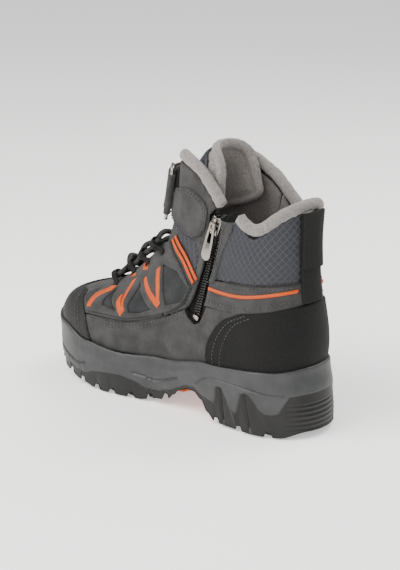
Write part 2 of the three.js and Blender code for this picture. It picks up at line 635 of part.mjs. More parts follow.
// Tread blocks: chevron bars standing on the outsole, their tops just inside it.
function bar(x0, x1, y, sweepBack, depth) {
  const face = (base) => (u, v) => {
    const py = (y + (v - 0.5) * depth + u * sweepBack) * KY;
    return new THREE.Vector3((x0 + (x1 - x0) * u) * KX, py, GROUND(py) + base);
  };
  return sheetSolid(1, 1, face(LUG + 0.6), face(0));
}

function tread(rows) {
  const parts = [];
  for (const [y, half, depth, sweepBack] of rows) {
    parts.push(bar(3, half, y, sweepBack, depth), bar(-half, -3, y + sweepBack, -sweepBack, depth));
  }
  return parts;
}
const OUT = SOLE_WALL - 1.2;
const treadBase = (y) => GROUND(y) + LUG;
const outsoleTop = (y) => SPLIT(y) - 2 * GAP;
const FOREFOOT_ROWS = [[-102, 13, 7, 3], [-89, 26, 8, 4], [-73, 33, 9, 4], [-57, 37, 9, 4], [-41, 37, 9, 4],
  [-25, 35, 9, 4], [-9, 31, 8, 4]];
const HEEL_ROWS = [[64, 29, 9, 3], [79, 29, 9, 3], [94, 27, 9, 2]];
add('outsole_forefoot', joined([
  slab(station(FOREFOOT_REAR), 0.975, OUT, outsoleTop, treadBase), ...tread(FOREFOOT_ROWS)]), 'outsole');
add('outsole_heel', joined([
  slab(0.03, station(HEEL_FRONT), OUT, outsoleTop, treadBase, { flare: HEEL_FLARE }),
  ...tread(HEEL_ROWS)]), 'outsole');
const shankTop = (y) => SPLIT(y) - 2 * GAP;
add('arch_shank', slab(station(HEEL_FRONT - 1), station(FOREFOOT_REAR + 1), 1, shankTop,
  (y) => shankTop(y) - SHANK_THICK, { across: 2, inset: 0.2 }), 'orange');
add('insole_board', slab(0.03, 0.97, -5.5, (y) => floorZ(y) + 2, (y) => floorZ(y) + GAP, { across: 2 }),
  'board');
add('insole', slab(0.05, 0.95, -8.5, (y) => floorZ(y) + 7, (y) => floorZ(y) + 2.4, { across: 2 }),
  'fleece');

// ---- lace, loops ----------------------------------------------------------------------------------
const LOOP_SPOTS = [[-53, 73.2], [-38, 84], [-20, 97.5], [-4, 111]];
const LOOP_WIDTH = 4.6;
const loopPlace = (p, side, t) => onForm(...domain(p, side), t);
const laceHeight = OVER[1] + GAP + LACE_RADIUS + 1.7;
const shift = (v, x, y, z) => v.clone().add(new THREE.Vector3(x, y, z));
function laceRoute() {
  const at = (k, side) => loopPlace(LOOP_SPOTS[k], side, laceHeight);
  const turn = (k, side, up) => {
    const p = at(k, side);
    const next = LOOP_SPOTS[Math.min(k + 1, 3)];
    const slope = new THREE.Vector3(0, next[0] - LOOP_SPOTS[k][0], next[1] - LOOP_SPOTS[k][1]).normalize();
    if (k === 3) slope.set(0, 0.62, 0.78);
    const a = p.clone().addScaledVector(slope, -4.6);
    const b = p.clone().addScaledVector(slope, 4.6);
    return up ? [a, shift(p, side * 0.8, 0, 0), b] : [b, shift(p, side * 0.8, 0, 0), a];
  };
  const middle = (k, lift) => {
    const p = at(k, 1).add(at(k + 1, 1)).multiplyScalar(0.5);
    return new THREE.Vector3(0, p.y - 3 - lift * 0.8, p.z + 2.5 + lift * 0.7);
  };
  const points = [];
  for (let k = 3; k >= 0; k -= 1) {
    points.push(...turn(k, k % 2 ? -1 : 1, false));
    if (k > 0) points.push(middle(k - 1, 0));
  }
  const start = at(0, 1);
  points.push(new THREE.Vector3(0, start.y - 4.4, start.z - 0.4));
  for (let k = 0; k <= 3; k += 1) {
    points.push(...turn(k, k % 2 ? 1 : -1, true));
    if (k < 3) points.push(middle(k, 2 * LACE_RADIUS + 1.4));
  }
  return points;
}
add('lace', sweep(laceRoute(), LACE_RADIUS, 8, 62), 'black');

// A small bridge of webbing sewn down outside the lace.
function frameAt(origin, along3, out) {
  const z = out.clone().normalize();
  const y = along3.clone().addScaledVector(z, -along3.dot(z)).normalize();
  const x = y.clone().cross(z);
  return new THREE.Matrix4().makeBasis(x, y, z).setPosition(origin);
}

const loopShape = (() => {
  const inner = LACE_RADIUS + 1.1;
  const outer = inner + 0.9;
  const shape = new THREE.Shape();
  shape.moveTo(outer, -2.2);
  shape.absarc(0, 0, outer, 0, Math.PI, false);
  shape.lineTo(-outer, -2.2);
  shape.lineTo(-inner, -2.2);
  shape.absarc(0, 0, inner, Math.PI, 0, true);
  shape.lineTo(inner, -2.2);
  return shape;
})();
for (const [name, side] of [['medial', 1], ['lateral', -1]]) {
  LOOP_SPOTS.forEach((spot, k) => {
    const next = LOOP_SPOTS[Math.min(k + 1, 3)];
    const before = LOOP_SPOTS[Math.max(k - 1, 0)];
    const run = new THREE.Vector3(0, next[0] - before[0], next[1] - before[1]);
    const geometry = new THREE.ExtrudeGeometry(loopShape, {
      depth: LOOP_WIDTH, bevelEnabled: false, curveSegments: 6 });
    geometry.translate(0, 0, -LOOP_WIDTH / 2);
    const out = normal(...domain(spot, side));
    const place = frameAt(shift(loopPlace(spot, side, laceHeight), side * 0.8, 0, 0), run, out);
    geometry.applyMatrix4(new THREE.Matrix4().makeRotationX(Math.PI / 2));
    add(`lace_loop_${name}_${k + 1}`, geometry, 'black', { matrix: place });
  });
}

// ---- zip ------------------------------------------------------------------------------------------
const zipLow = onForm(...domain(ZIP_LOW), 0);
const zipHigh = onForm(...domain(ZIP_HIGH), 0);
const zipRun = zipHigh.clone().sub(zipLow);
const zipLength = zipRun.length();
const zipOut = normal(...domain([(ZIP_LOW[0] + ZIP_HIGH[0]) / 2, (ZIP_LOW[1] + ZIP_HIGH[1]) / 2]));
// Local frame of the zip: x across towards the heel, y up along the chain, z out of the boot.
const zipFrame = frameAt(zipLow, zipRun, zipOut);
const box = (x0, x1, y0, y1, z0, z1) => {
  const geometry = new THREE.BoxGeometry(x1 - x0, y1 - y0, z1 - z0);
  return geometry.translate((x0 + x1) / 2, (y0 + y1) / 2, (z0 + z1) / 2);
};
const TAPE = [-5.4, -4.8];
const CHAIN = [TAPE[0] + 0.2, -3];
const TEETH_HALF = 2.6;
const TOOTH_PITCH = 4.5;
const SLIDER_REST = 0.86;      // share of the chain's length below the slider's middle
const sliderY = zipLength * SLIDER_REST;
for (const [name, side] of [['front', -1], ['rear', 1]]) {
  const across = (x0, x1) => (side > 0 ? [x0, x1] : [-x1, -x0]);
  add(`zip_tape_${name}`, box(...across(TEETH_HALF + GAP, ZIP_HALF + 1.2), -2, zipLength, ...TAPE), 'black',
    { matrix: zipFrame });
  const parts = [box(...across(0.9, TEETH_HALF), 0, zipLength - 1, TAPE[0], CHAIN[1] - 0.7)];
  for (let y = 1 + (side > 0 ? 0 : TOOTH_PITCH / 2); y < zipLength - 3; y += TOOTH_PITCH) {
    parts.push(box(...across(0.12, TEETH_HALF - 0.2), y, y + TOOTH_PITCH * 0.45, TAPE[0] + 0.4, CHAIN[1]));
  }
  add(`zip_teeth_${name}`, joined(parts), 'black', { matrix: zipFrame, roughness: 0.5 });
}
add('zip_stop', box(-TEETH_HALF, TEETH_HALF, -3.5, -0.6, CHAIN[0], CHAIN[1] + 0.5), 'metal',
  { matrix: zipFrame, metalness: 1, roughness: 0.35 });

// The slider wraps the chain: top and bottom plates joined by side walls, running on the teeth.
const runClear = 0.3;
const sliderHalf = SLIDER_WIDTH / 2;
const slider = [
  box(-sliderHalf, sliderHalf, sliderY - SLIDER_LENGTH / 2, sliderY + SLIDER_LENGTH / 2,
    CHAIN[1] + runClear, CHAIN[1] + runClear + 1.1),
  box(-1.5, 1.5, sliderY - 4.5, sliderY + 4.5, CHAIN[1] + 1, CHAIN[1] + 2.6),
];
add('zip_slider', joined(slider), 'metal', { matrix: zipFrame, metalness: 1, roughness: 0.3 });

// The puller hangs from the bail by a flat eye and lies on the chain below it.
const PULLER_WIDTH = 7;
const arc = (cx, cy, radius, from, to, count) => Array.from({ length: count }, (_, i) => {
  const angle = from + (to - from) * i / (count - 1);
  return new THREE.Vector2(cx + radius * Math.cos(angle), cy + radius * Math.sin(angle));
});
const pullerEnd = PULLER_WIDTH / 2 + 0.6;
const pullerShape = new THREE.Shape([
  new THREE.Vector2(-PULLER_WIDTH / 2 + 1, 0), ...arc(0, -PULLER_LENGTH + pullerEnd, pullerEnd, Math.PI,
    2 * Math.PI, 9), new THREE.Vector2(PULLER_WIDTH / 2 - 1, 0)]);
pullerShape.holes.push(new THREE.Path(arc(0, -3.4, 1.3, 0, 1.75 * Math.PI, 8)));
const puller = new THREE.ExtrudeGeometry(pullerShape, { depth: 1.3, bevelEnabled: false, curveSegments: 6 });
const pullerZ = CHAIN[1] + 2.6 + GAP;
puller.translate(0, sliderY + 2.5, pullerZ);
add('zip_puller', puller, 'metal', { matrix: zipFrame, metalness: 1, roughness: 0.25 });

// ---- strap ----------------------------------------------------------------------------------------
// The strap is a band of the form: STRAP_LOW and STRAP_HIGH are its edges' levels b.
const STRAP_MID = 0.86;
const strapHalf = STRAP_WIDTH / 2 / form(1, 1).distanceTo(form(1, 0.5)) * 0.5;
const STRAP_LOW = STRAP_MID - strapHalf;
const STRAP_HIGH = STRAP_MID + strapHalf;
const RING_Q = 0.845;          // where the ring stands on the medial front
const strapBand = (q0, q1, depth, columns) => sheetSolid(columns, 3,
  (u, v) => onForm(q0 + (q1 - q0) * u, STRAP_LOW + (STRAP_HIGH - STRAP_LOW) * v, depth[1]),
  (u, v) => onForm(q0 + (q1 - q0) * u, STRAP_LOW + (STRAP_HIGH - STRAP_LOW) * v, depth[0]));
const ringAt = onForm(RING_Q, STRAP_MID, STRAP_IN[0] + RING_WIRE / 2 + 0.8);
const ringUp = onForm(RING_Q, STRAP_HIGH).sub(onForm(RING_Q, STRAP_LOW));
const ringFrame = frameAt(ringAt, ringUp, normal(RING_Q, STRAP_MID));
const ringPlate = new THREE.Shape();
const corner = (path, w, h, r) => {
  path.moveTo(-w + r, -h);
  path.lineTo(w - r, -h);
  path.absarc(w - r, -h + r, r, -Math.PI / 2, 0, false);
  path.lineTo(w, h - r);
  path.absarc(w - r, h - r, r, 0, Math.PI / 2, false);
  path.lineTo(-w + r, h);
  path.absarc(-w + r, h - r, r, Math.PI / 2, Math.PI, false);
  path.lineTo(-w, -h + r);
  path.absarc(-w + r, -h + r, r, Math.PI, 1.5 * Math.PI, false);
};
corner(ringPlate, RING_WIDTH / 2, RING_LENGTH / 2, 3.5);
const ringHole = new THREE.Path();
corner(ringHole, RING_WIDTH / 2 - RING_WIRE, RING_LENGTH / 2 - RING_WIRE, 1.4);
ringPlate.holes.push(ringHole);
const ring = new THREE.ExtrudeGeometry(ringPlate, { depth: RING_WIRE, bevelEnabled: false, curveSegments: 4 });
ring.translate(0, 0, -RING_WIRE / 2);
add('strap_ring', ring, 'silver', { matrix: ringFrame, metalness: 1, roughness: 0.25 });

// Half the ring's width, as a step in q.
const ringSpan = RING_WIDTH / 2 * 0.05
  / form(RING_Q, STRAP_MID).distanceTo(form(RING_Q + 0.05, STRAP_MID));
add('strap_base', strapBand(RING_Q + ringSpan * 1.35, 1.5, STRAP_IN, 14), 'nubuck');
const FLAP = [STRAP_IN[1] + 1.9, STRAP_IN[1] + 1.9 + STRAP_THICK];
add('strap_flap', strapBand(RING_Q + ringSpan * 1.35, 1.24, FLAP, 9), 'nubuck');
add('strap_hook_pad', strapBand(1.03, 1.22, [STRAP_IN[1] + GAP, FLAP[0] - GAP], 7), 'black');

// Tab that holds the ring: a stitched patch on the medial shaft.
const tab = [[24, 156], [38, 152], [43, 146], [38, 127], [30, 118], [14, 133]].map((p) => domain(p));
add('ring_tab', panel(tab, ...OVER), 'nubuck');

// ---- heel webbing -----------------------------------------------------------------------------------
const webHalf = WEBBING_WIDTH / 2;
const webbing = (b0, b1, t0, t1, rows) => sheetSolid(4, rows,
  (u, v) => backFace(u, b0 + (b1 - b0) * v, t1), (u, v) => backFace(u, b0 + (b1 - b0) * v, t0));
function backFace(u, b, t) {
  const x = (u - 0.5) * 2 * webHalf;
  let q = 0;
  while (form(q, b).x < Math.abs(x)) q += 0.001;
  const p = onForm(q, b, t);
  return new THREE.Vector3(x, p.y, p.z);
}
const stripTop = domain([107, 148])[1];
add('backstay_strip', webbing(domain(COUNTER_BACK)[1] + 0.01, stripTop, OVER[0], OVER[0] + WEBBING_THICK, 8),
  'black');
const loopFoot = domain([107, 150 - LOOP_LENGTH])[1];
add('pull_loop', webbing(loopFoot, stripTop, OVER[1] + 0.6, OVER[1] + 0.6 + 2 * WEBBING_THICK, 6), 'black');

// The frame's origin is under the middle of the boot.
const bounds = new THREE.Box3().setFromObject(group);
const middleOfAll = bounds.getCenter(new THREE.Vector3());
group.position.set(-middleOfAll.x, -middleOfAll.y, -bounds.min.z);

export default group;
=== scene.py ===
"""Child's winter hiking boot, right foot, laid out as a Blender add-on and run as a script."""

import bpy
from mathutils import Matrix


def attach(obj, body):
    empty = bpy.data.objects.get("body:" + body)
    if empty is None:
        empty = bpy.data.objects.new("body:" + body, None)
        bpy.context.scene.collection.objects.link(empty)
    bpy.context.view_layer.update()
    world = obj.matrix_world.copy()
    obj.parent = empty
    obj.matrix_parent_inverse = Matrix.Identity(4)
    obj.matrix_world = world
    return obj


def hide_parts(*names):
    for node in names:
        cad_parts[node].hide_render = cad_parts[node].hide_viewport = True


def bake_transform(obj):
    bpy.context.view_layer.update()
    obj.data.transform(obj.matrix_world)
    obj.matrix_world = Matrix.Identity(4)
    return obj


bl_info = {
    "name": "Winter hiking boot",
    "version": (1, 0, 0),
    "blender": (4, 5, 0),
    "location": "View3D > Sidebar > Boot",
    "description": "Builds a zipped, strapped and laced child's hiking boot round its packed frame",
    "category": "Add Mesh",
}
import math
import random

import bmesh
import bpy
import numpy as np
from mathutils import Matrix, Vector, geometry
from mathutils import noise as mnoise

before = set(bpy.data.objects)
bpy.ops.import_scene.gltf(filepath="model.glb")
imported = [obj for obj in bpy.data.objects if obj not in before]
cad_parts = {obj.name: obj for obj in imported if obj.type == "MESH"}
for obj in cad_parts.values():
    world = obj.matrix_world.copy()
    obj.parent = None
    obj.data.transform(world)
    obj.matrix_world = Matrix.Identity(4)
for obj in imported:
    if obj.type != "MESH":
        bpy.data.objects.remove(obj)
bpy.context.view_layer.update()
MM = 0.001

# ---- the boot's form, in millimetres: the outer skin of the upper ---------------------------------
# A place on it is (q, b): q is 0 at the heel's back and +-1 at the toe, positive on the medial side;
# b is 0 at the feather line, where upper meets sole, and 1 at the top edge.
ORIGIN = np.array([1.0, -3.49, 0.0])   # where the form's own origin lies in the frame
FRONT = np.array([(-106, 28), (-109.5, 42), (-104.5, 55), (-91, 62.5), (-71, 67.5), (-50, 77), (-32, 92),
                  (-17, 111), (-7.5, 134), (-2, 158), (2, 182)], float)
BACK = np.array([(109, 33), (111.5, 46), (112.5, 56), (112, 67), (110.5, 79), (109, 91), (107.5, 104),
                 (106.5, 117), (106, 130), (106.5, 143), (107.5, 156)], float)
HEEL = np.array([32, 33.5, 33.5, 33, 32, 31, 30.5, 30.5, 31, 32, 33], float)
WAIST = {1: np.array([30, 32, 32, 31.5, 31, 30.7, 30.4, 30.2, 30, 30.5, 31], float),
         -1: np.array([36, 38, 38, 37, 35, 32.5, 30.5, 30, 30, 31, 32], float)}
BALL = {1: np.array([39, 41, 39, 35, 30, 28, 27, 26.5, 27, 28, 29], float),
        -1: np.array([41, 43, 42, 38, 33, 30.5, 28.5, 27.5, 27, 28, 29], float)}
TOE_ROUND = np.array([52, 54, 56, 56, 54, 46, 38, 34, 32, 31, 30], float)
TOE_POWER = np.array([2.3, 2.3, 2.2, 2.1, 2.1, 2.1, 2.1, 2.1, 2.1, 2.1, 2.1])
HEEL_ROUND = 33.0


def spline(table, b):
    """Smooth value of an evenly spaced table at b from 0 to 1."""
    last = len(table) - 1
    x = np.clip(b, 0, 1) * last
    i = np.minimum(x.astype(int), last - 1)
    t = x - i
    padded = np.concatenate([[2 * table[0] - table[1]], table, [2 * table[-1] - table[-2]]])
    p0, p1, p2, p3 = (padded[i + k] for k in range(4))
    if table.ndim > 1:
        t = t[:, None]
    return 0.5 * (2 * p1 + (p2 - p0) * t + (2 * p0 - 5 * p1 + 4 * p2 - p3) * t * t
                  + (3 * p1 - p0 - 3 * p2 + p3) * t ** 3)


def ease(t):
    t = np.clip(t, 0, 1)
    return t * t * (3 - 2 * t)


def round_end(u, power):
    return (1 - (1 - np.clip(u, 0, 1)) ** power) ** (1 / power)


def form(q, b):
    """Points of the form, in millimetres, in the frame."""
    q, b = np.broadcast_arrays(np.atleast_1d(np.asarray(q, float)), np.atleast_1d(np.asarray(b, float)))
    turn = q - 2 * np.round(q / 2)
    front = spline(FRONT, b)
    back = spline(BACK, b)
    depth = np.linalg.norm(front - back, axis=1)
    tau = (1 - np.cos(np.pi * np.abs(turn))) / 2
    stations = np.array([0, 0.2, 0.47, 0.72, 1])
    i = np.clip(np.searchsorted(stations, tau, side="left") - 1, 0, 3)
    t = ease((tau - stations[i]) / (stations[i + 1] - stations[i]))
    medial = turn >= 0
    waist = np.where(medial, spline(WAIST[1], b), spline(WAIST[-1], b))
    ball = np.where(medial, spline(BALL[1], b), spline(BALL[-1], b))
    heel = spline(HEEL, b)
    widths = np.stack([heel, heel, waist, ball, ball * 0.96])
    column = np.arange(len(q))
    w = widths[i, column] * (1 - t) + widths[i + 1, column] * t
    w = w * round_end(tau * depth / HEEL_ROUND, 2.1)
    w = w * round_end((1 - tau) * depth / spline(TOE_ROUND, b), spline(TOE_POWER, b))
    yz = back + (front - back) * tau[:, None]
    return np.stack([np.where(medial, w, -w), yz[:, 0], yz[:, 1]], axis=1) + ORIGIN


def normal(q, b):
    step = 0.008
    q, b = np.broadcast_arrays(np.atleast_1d(np.asarray(q, float)), np.atleast_1d(np.asarray(b, float)))
    around = form(q + step, b) - form(q - step, b)
    up = form(q, np.minimum(b + step, 1)) - form(q, np.maximum(b - step, 0))
    n = np.cross(up, around)
    return n / np.linalg.norm(n, axis=1)[:, None]


def lay(q, b, t):
    """Points at depth t, outwards, over places (q, b) of the form."""
    t = np.broadcast_to(np.asarray(t, float), np.broadcast(np.atleast_1d(q), np.atleast_1d(b)).shape)
    return form(q, b) + normal(q, b) * t[:, None]


def domain(points, side=1):
    """(q, b) of points given in side view (y, z), in the form's own millimetres."""
    points = np.asarray(points, float)
    lo = np.zeros(len(points))
    hi = np.ones(len(points))
    for _ in range(34):
        mid = (lo + hi) / 2
        f, k = spline(FRONT, mid), spline(BACK, mid)
        miss = (f[:, 0] - k[:, 0]) * (points[:, 1] - k[:, 1]) - (f[:, 1] - k[:, 1]) * (points[:, 0] - k[:, 0])
        lo = np.where(miss < 0, mid, lo)
        hi = np.where(miss < 0, hi, mid)
    f, k = spline(FRONT, lo), spline(BACK, lo)
    d = f - k
    tau = np.clip(((points - k) * d).sum(1) / (d * d).sum(1), 0, 1)
    return np.stack([side * np.arccos(1 - 2 * tau) / np.pi, lo], axis=1)


# Flat pattern: U is the length round the boot at mid height, V the height, both in millimetres.
Q_TABLE = np.linspace(-1.2, 2.2, 1361)
_girth = form(Q_TABLE, 0.35)
U_TABLE = np.concatenate([[0], np.cumsum(np.linalg.norm(np.diff(_girth, axis=0), axis=1))])
FLAT_V = 128.0


def flat_of(qb):
    qb = np.asarray(qb, float)
    return np.stack([np.interp(qb[:, 0], Q_TABLE, U_TABLE), qb[:, 1] * FLAT_V], axis=1)


def form_of(uv):
    return np.interp(uv[:, 0], U_TABLE, Q_TABLE), uv[:, 1] / FLAT_V


def flowing(points, steps=6):
    """A smooth line through given points."""
    points = np.asarray(points, float)
    if len(points) < 3:
        return points
    span = np.linspace(0, 1, steps * (len(points) - 1) + 1)
    return spline(points, span)


def densify(line, spacing, closed=True):
    line = np.asarray(line, float)
    if closed:
        line = np.concatenate([line, line[:1]])
    keep = np.concatenate([[True], np.linalg.norm(np.diff(line, axis=0), axis=1) > 1e-6])
    line = line[keep]
    out = []
    for a, b in zip(line[:-1], line[1:]):
        count = max(1, int(round(np.linalg.norm(b - a) / spacing)))
        out.extend(a + (b - a) * k / count for k in range(count))
    if not closed:
        out.append(line[-1])
    return np.array(out)


# ---- meshes ---------------------------------------------------------------------------------------
def deselect():
    if bpy.context.object and bpy.context.object.mode != "OBJECT":
        bpy.ops.object.mode_set(mode="OBJECT")
    bpy.ops.object.select_all(action="DESELECT")


def mesh_piece(name, points, faces, uv=None, smooth=True):
    """A piece from points in millimetres; it carries its own UV map in millimetres / 100."""
    name = name.replace(" ", "_")
    mesh = bpy.data.meshes.new(name)
    mesh.from_pydata((np.asarray(points, float) * MM).tolist(), [], [tuple(f) for f in faces])
    if uv is not None:
        layer = mesh.uv_layers.new(name="UVMap")
        corners = np.zeros(len(mesh.loops), int)
        mesh.loops.foreach_get("vertex_index", corners)
        layer.data.foreach_set("uv", (np.asarray(uv, float)[corners] / 100).ravel())
    mesh.validate()
    obj = bpy.data.objects.new(name, mesh)
    bpy.context.scene.collection.objects.link(obj)
    if smooth:
        mesh.polygons.foreach_set("use_smooth", [True] * len(mesh.polygons))
    return obj


def smooth_by_angle(obj, degrees=35):
    deselect()
    bpy.context.view_layer.objects.active = obj
    obj.select_set(True)
    bpy.ops.object.shade_smooth_by_angle(angle=math.radians(degrees))


def finish_piece(obj, body, slot, material, *nodes, blend=None):
    obj.data.materials.clear()
    obj.data.materials.append(material)
    if nodes:
        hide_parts(*nodes)
    if blend:
        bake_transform(obj)
    else:
        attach(obj, body)
    return obj


def inside_polygon(points, ring):
    x, y = points[:, 0], points[:, 1]
    hit = np.zeros(len(points), bool)
    for (x0, y0), (x1, y1) in zip(ring, np.roll(ring, -1, axis=0)):
        crosses = (y0 > y) != (y1 > y)
        if y0 == y1:
            continue
        hit ^= crosses & (x < (x1 - x0) * (y - y0) / (y1 - y0) + x0)
    return hit


def distance_to(points, line, closed=True):
    """Shortest flat distance from each point to a polyline."""
    ends = np.roll(line, -1, axis=0) if closed else line[1:]
    starts = line if closed else line[:-1]
    best = np.full(len(points), 1e9)
    for a, b in zip(starts, ends):
        d = b - a
        size = (d * d).sum()
        if size < 1e-12:
            continue
        t = np.clip(((points - a) @ d) / size, 0, 1)
        best = np.minimum(best, np.linalg.norm(points - (a + t[:, None] * d), axis=1))
    return best


def fill_flat(ring, holes, spacing):
    """Triangles over a flat outline, with an even lattice inside."""
    ring = densify(ring, spacing)
    holes = [densify(h, spacing) for h in holes]
    low, high = ring.min(0), ring.max(0)
    rows = np.arange(low[1], high[1], spacing * 0.866)
    lattice = np.array([(x + (spacing / 2 if r % 2 else 0), y) for r, y in enumerate(rows)
                        for x in np.arange(low[0], high[0], spacing)])
    keep = inside_polygon(lattice, ring) & (distance_to(lattice, ring) > spacing * 0.55)
    for hole in holes:
        keep &= ~inside_polygon(lattice, hole) & (distance_to(lattice, hole) > spacing * 0.55)
    points = np.concatenate([ring, *holes, lattice[keep]])
    count = len(ring)
    edges = [(i, (i + 1) % count) for i in range(count)]
    start = count
    for hole in holes:
        edges += [(start + i, start + (i + 1) % len(hole)) for i in range(len(hole))]
        start += len(hole)
    verts, _, faces, *_ = geometry.delaunay_2d_cdt([Vector(p) for p in points], edges, [], 0, 1e-5)
    verts = np.array([tuple(v) for v in verts])
    faces = np.array([f for f in faces if len(f) == 3])
    middle = verts[faces].mean(axis=1)
    good = inside_polygon(middle, ring)
    for hole in holes:
        good &= ~inside_polygon(middle, hole)
    faces = faces[good]
    used, index = np.unique(faces, return_inverse=True)
    verts = verts[used]
    faces = index.reshape(faces.shape)
    a, b, c = (verts[faces[:, k]] for k in range(3))
    turn = (b[:, 0] - a[:, 0]) * (c[:, 1] - a[:, 1]) - (b[:, 1] - a[:, 1]) * (c[:, 0] - a[:, 0])
    faces[turn < 0] = faces[turn < 0][:, ::-1]
    edge = distance_to(verts, ring)
    for hole in holes:
        edge = np.minimum(edge, distance_to(verts, hole))
    return verts, faces, edge


def thick_sheet(name, top, under, faces, uv, outward_ccw):
    """Closed sheet between two sets of points that share their triangles."""
    count = len(top)
    faces = np.asarray(faces)
    if not outward_ccw:
        faces = faces[:, ::-1]
    rim = {}
    for f in faces:
        for k in range(3):
            e = (int(f[k]), int(f[(k + 1) % 3]))
            if (e[1], e[0]) in rim:
                del rim[(e[1], e[0])]
            else:
                rim[e] = True
    solid = [tuple(int(i) for i in f) for f in faces]
    solid += [tuple(int(i) + count for i in f[::-1]) for f in faces]
    solid += [(a + 0, a + count, b + count, b) for a, b in rim]
    return mesh_piece(name, np.concatenate([top, under]), solid, np.concatenate([uv, uv]))


def panel(name, outline, out, thick, spacing=1.5, holes=(), edge_drop=0.55, edge_width=1.3, puff=0.0,
          puff_width=9.0, relief=None, grain=0.0):
    """A sewn panel laid on the form. Its edge is pressed down, its middle may be puffed up."""
    ring = flat_of(outline)
    verts, faces, edge = fill_flat(ring, [flat_of(h) for h in holes], spacing)
    q, b = form_of(verts)
    t = out - edge_drop * (1 - ease(edge / edge_width)) + puff * (1 - np.exp(-(edge / puff_width) ** 2))
    if relief is not None:
        t = t + relief(verts, edge)
    if grain:
        t = t + grain * np.array([mnoise.noise(Vector((v[0] * 0.9, v[1] * 0.9, 3.1))) for v in verts])
    return thick_sheet(name, lay(q, b, t), lay(q, b, out - thick), faces, verts, True)


def groove(line, depth, width, closed=False):
    """Relief of a pressed or sewn line given as (q, b) points."""
    flat = densify(flat_of(line), 1.0, closed)
    return lambda verts: -depth * np.exp(-(distance_to(verts, flat, closed) / width) ** 2)


def tube(name, path, radius, sides=12, closed=False, squash=1.0, caps=True, up=None):
    """A round section swept along points in millimetres, with no twist."""
    path = np.asarray(path, float)
    count = len(path)
    tangent = np.roll(path, -1, 0) - np.roll(path, 1, 0) if closed else np.gradient(path, axis=0)
    tangent /= np.linalg.norm(tangent, axis=1)[:, None]
    side = np.cross(tangent[0], (0, 0, 1) if up is None else up)
    if np.linalg.norm(side) < 1e-3:
        side = np.cross(tangent[0], (1, 0, 0))
    sides_at = []
    for t in tangent:
        side = side - t * (side @ t)
        side /= np.linalg.norm(side)
        sides_at.append(side.copy())
    sides_at = np.array(sides_at)
    over = np.cross(tangent, sides_at)
    radius = np.broadcast_to(np.asarray(radius, float), (count,))
    angle = np.arange(sides) / sides * 2 * math.pi
    rings = (path[:, None] + radius[:, None, None] * (np.cos(angle)[None, :, None] * sides_at[:, None]
             + squash * np.sin(angle)[None, :, None] * over[:, None]))
    length = np.concatenate([[0], np.cumsum(np.linalg.norm(np.diff(path, axis=0), axis=1))])
    around = 2 * math.pi * radius.mean() / sides
    uv = np.stack(np.meshgrid(length, np.arange(sides) * around, indexing="ij"), axis=2).reshape(-1, 2)
    faces = []
    for i in range(count if closed else count - 1):
        for j in range(sides):
            a, b = i * sides + j, i * sides + (j + 1) % sides
            c, d = ((i + 1) % count) * sides + (j + 1) % sides, ((i + 1) % count) * sides + j
            faces.append((a, b, c, d))
    points = rings.reshape(-1, 3)
    if not closed and caps:
        for end, inward in ((0, 1), (count - 1, -1)):
            middle = len(points)
            points = np.concatenate([points, [path[end] - inward * tangent[end] * radius[end] * 0.45]])
            uv = np.concatenate([uv, [uv[end * sides]]])
            for j in range(sides):
                a, b = end * sides + j, end * sides + (j + 1) % sides
                faces.append((b, a, middle) if inward > 0 else (a, b, middle))
    return mesh_piece(name, points, faces, uv)


def joined(name, parts):
    """Several point-and-face sets as one piece."""
    points, faces, start = [], [], 0
    for p, f in parts:
        points.append(np.asarray(p, float))
        faces += [tuple(i + start for i in face) for face in f]
        start += len(p)
    return mesh_piece(name, np.concatenate(points), faces)


# A single stitch: a short thread with rounded ends, lying along x, in millimetres.
STITCH_LENGTH, STITCH_WIDTH, STITCH_HEIGHT = 2.0, 0.75, 0.45
_s = np.array([(-1, 0, 0), (-0.72, -1, 0), (-0.72, 1, 0), (-0.62, 0, 1), (0.72, -1, 0), (0.72, 1, 0),
               (0.62, 0, 1),
               (1, 0, 0)], float) * (STITCH_LENGTH / 2, STITCH_WIDTH / 2, STITCH_HEIGHT)
STITCH_FACES = [(0, 1, 3), (0, 3, 2), (1, 4, 6, 3), (3, 6, 5, 2), (4, 7, 6), (6, 7, 5), (0, 2, 1),
                (1, 2, 5, 4),
                (4, 5, 7)]


def stitches(name, lines, t, inset=0.0, pitch=2.9):
    """Threads along (q, b) lines, moved sideways by inset and standing at depth t."""
    parts = []
    for line in lines:
        flat = densify(flat_of(line), 0.5, closed=False)
        q, b = form_of(flat)
        place, out = lay(q, b, t), normal(q, b)
        run = np.gradient(place, axis=0)
        run /= np.maximum(np.linalg.norm(run, axis=1)[:, None], 1e-9)
        across = np.cross(out, run)
        place = place + across * inset
        length = np.concatenate([[0], np.cumsum(np.linalg.norm(np.diff(place, axis=0), axis=1))])
        for at in np.arange(pitch / 2, length[-1], pitch):
            i = min(int(np.searchsorted(length, at)), len(place) - 1)
            basis = np.stack([run[i], across[i], out[i]])
            parts.append((_s @ basis + place[i], STITCH_FACES))
    return joined(name, parts)


# ---- materials ------------------------------------------------------------------------------------
def linear(code):
    values = [int(code[i:i + 2], 16) / 255 for i in (1, 3, 5)]
    return tuple(v / 12.92 if v <= 0.04045 else ((v + 0.055) / 1.055) ** 2.4 for v in values) + (1.0,)


def node(tree, kind, inputs=None, **settings):
    """Adds a node with its settings; an input that is a socket is linked, any other is set."""
    item = tree.nodes.new(kind)
    for key, value in settings.items():
        setattr(item, key, value)
    for key, value in (inputs or {}).items():
        if isinstance(value, bpy.types.NodeSocket):
            tree.links.new(value, item.inputs[key])
        else:
            item.inputs[key].default_value = value
    return item


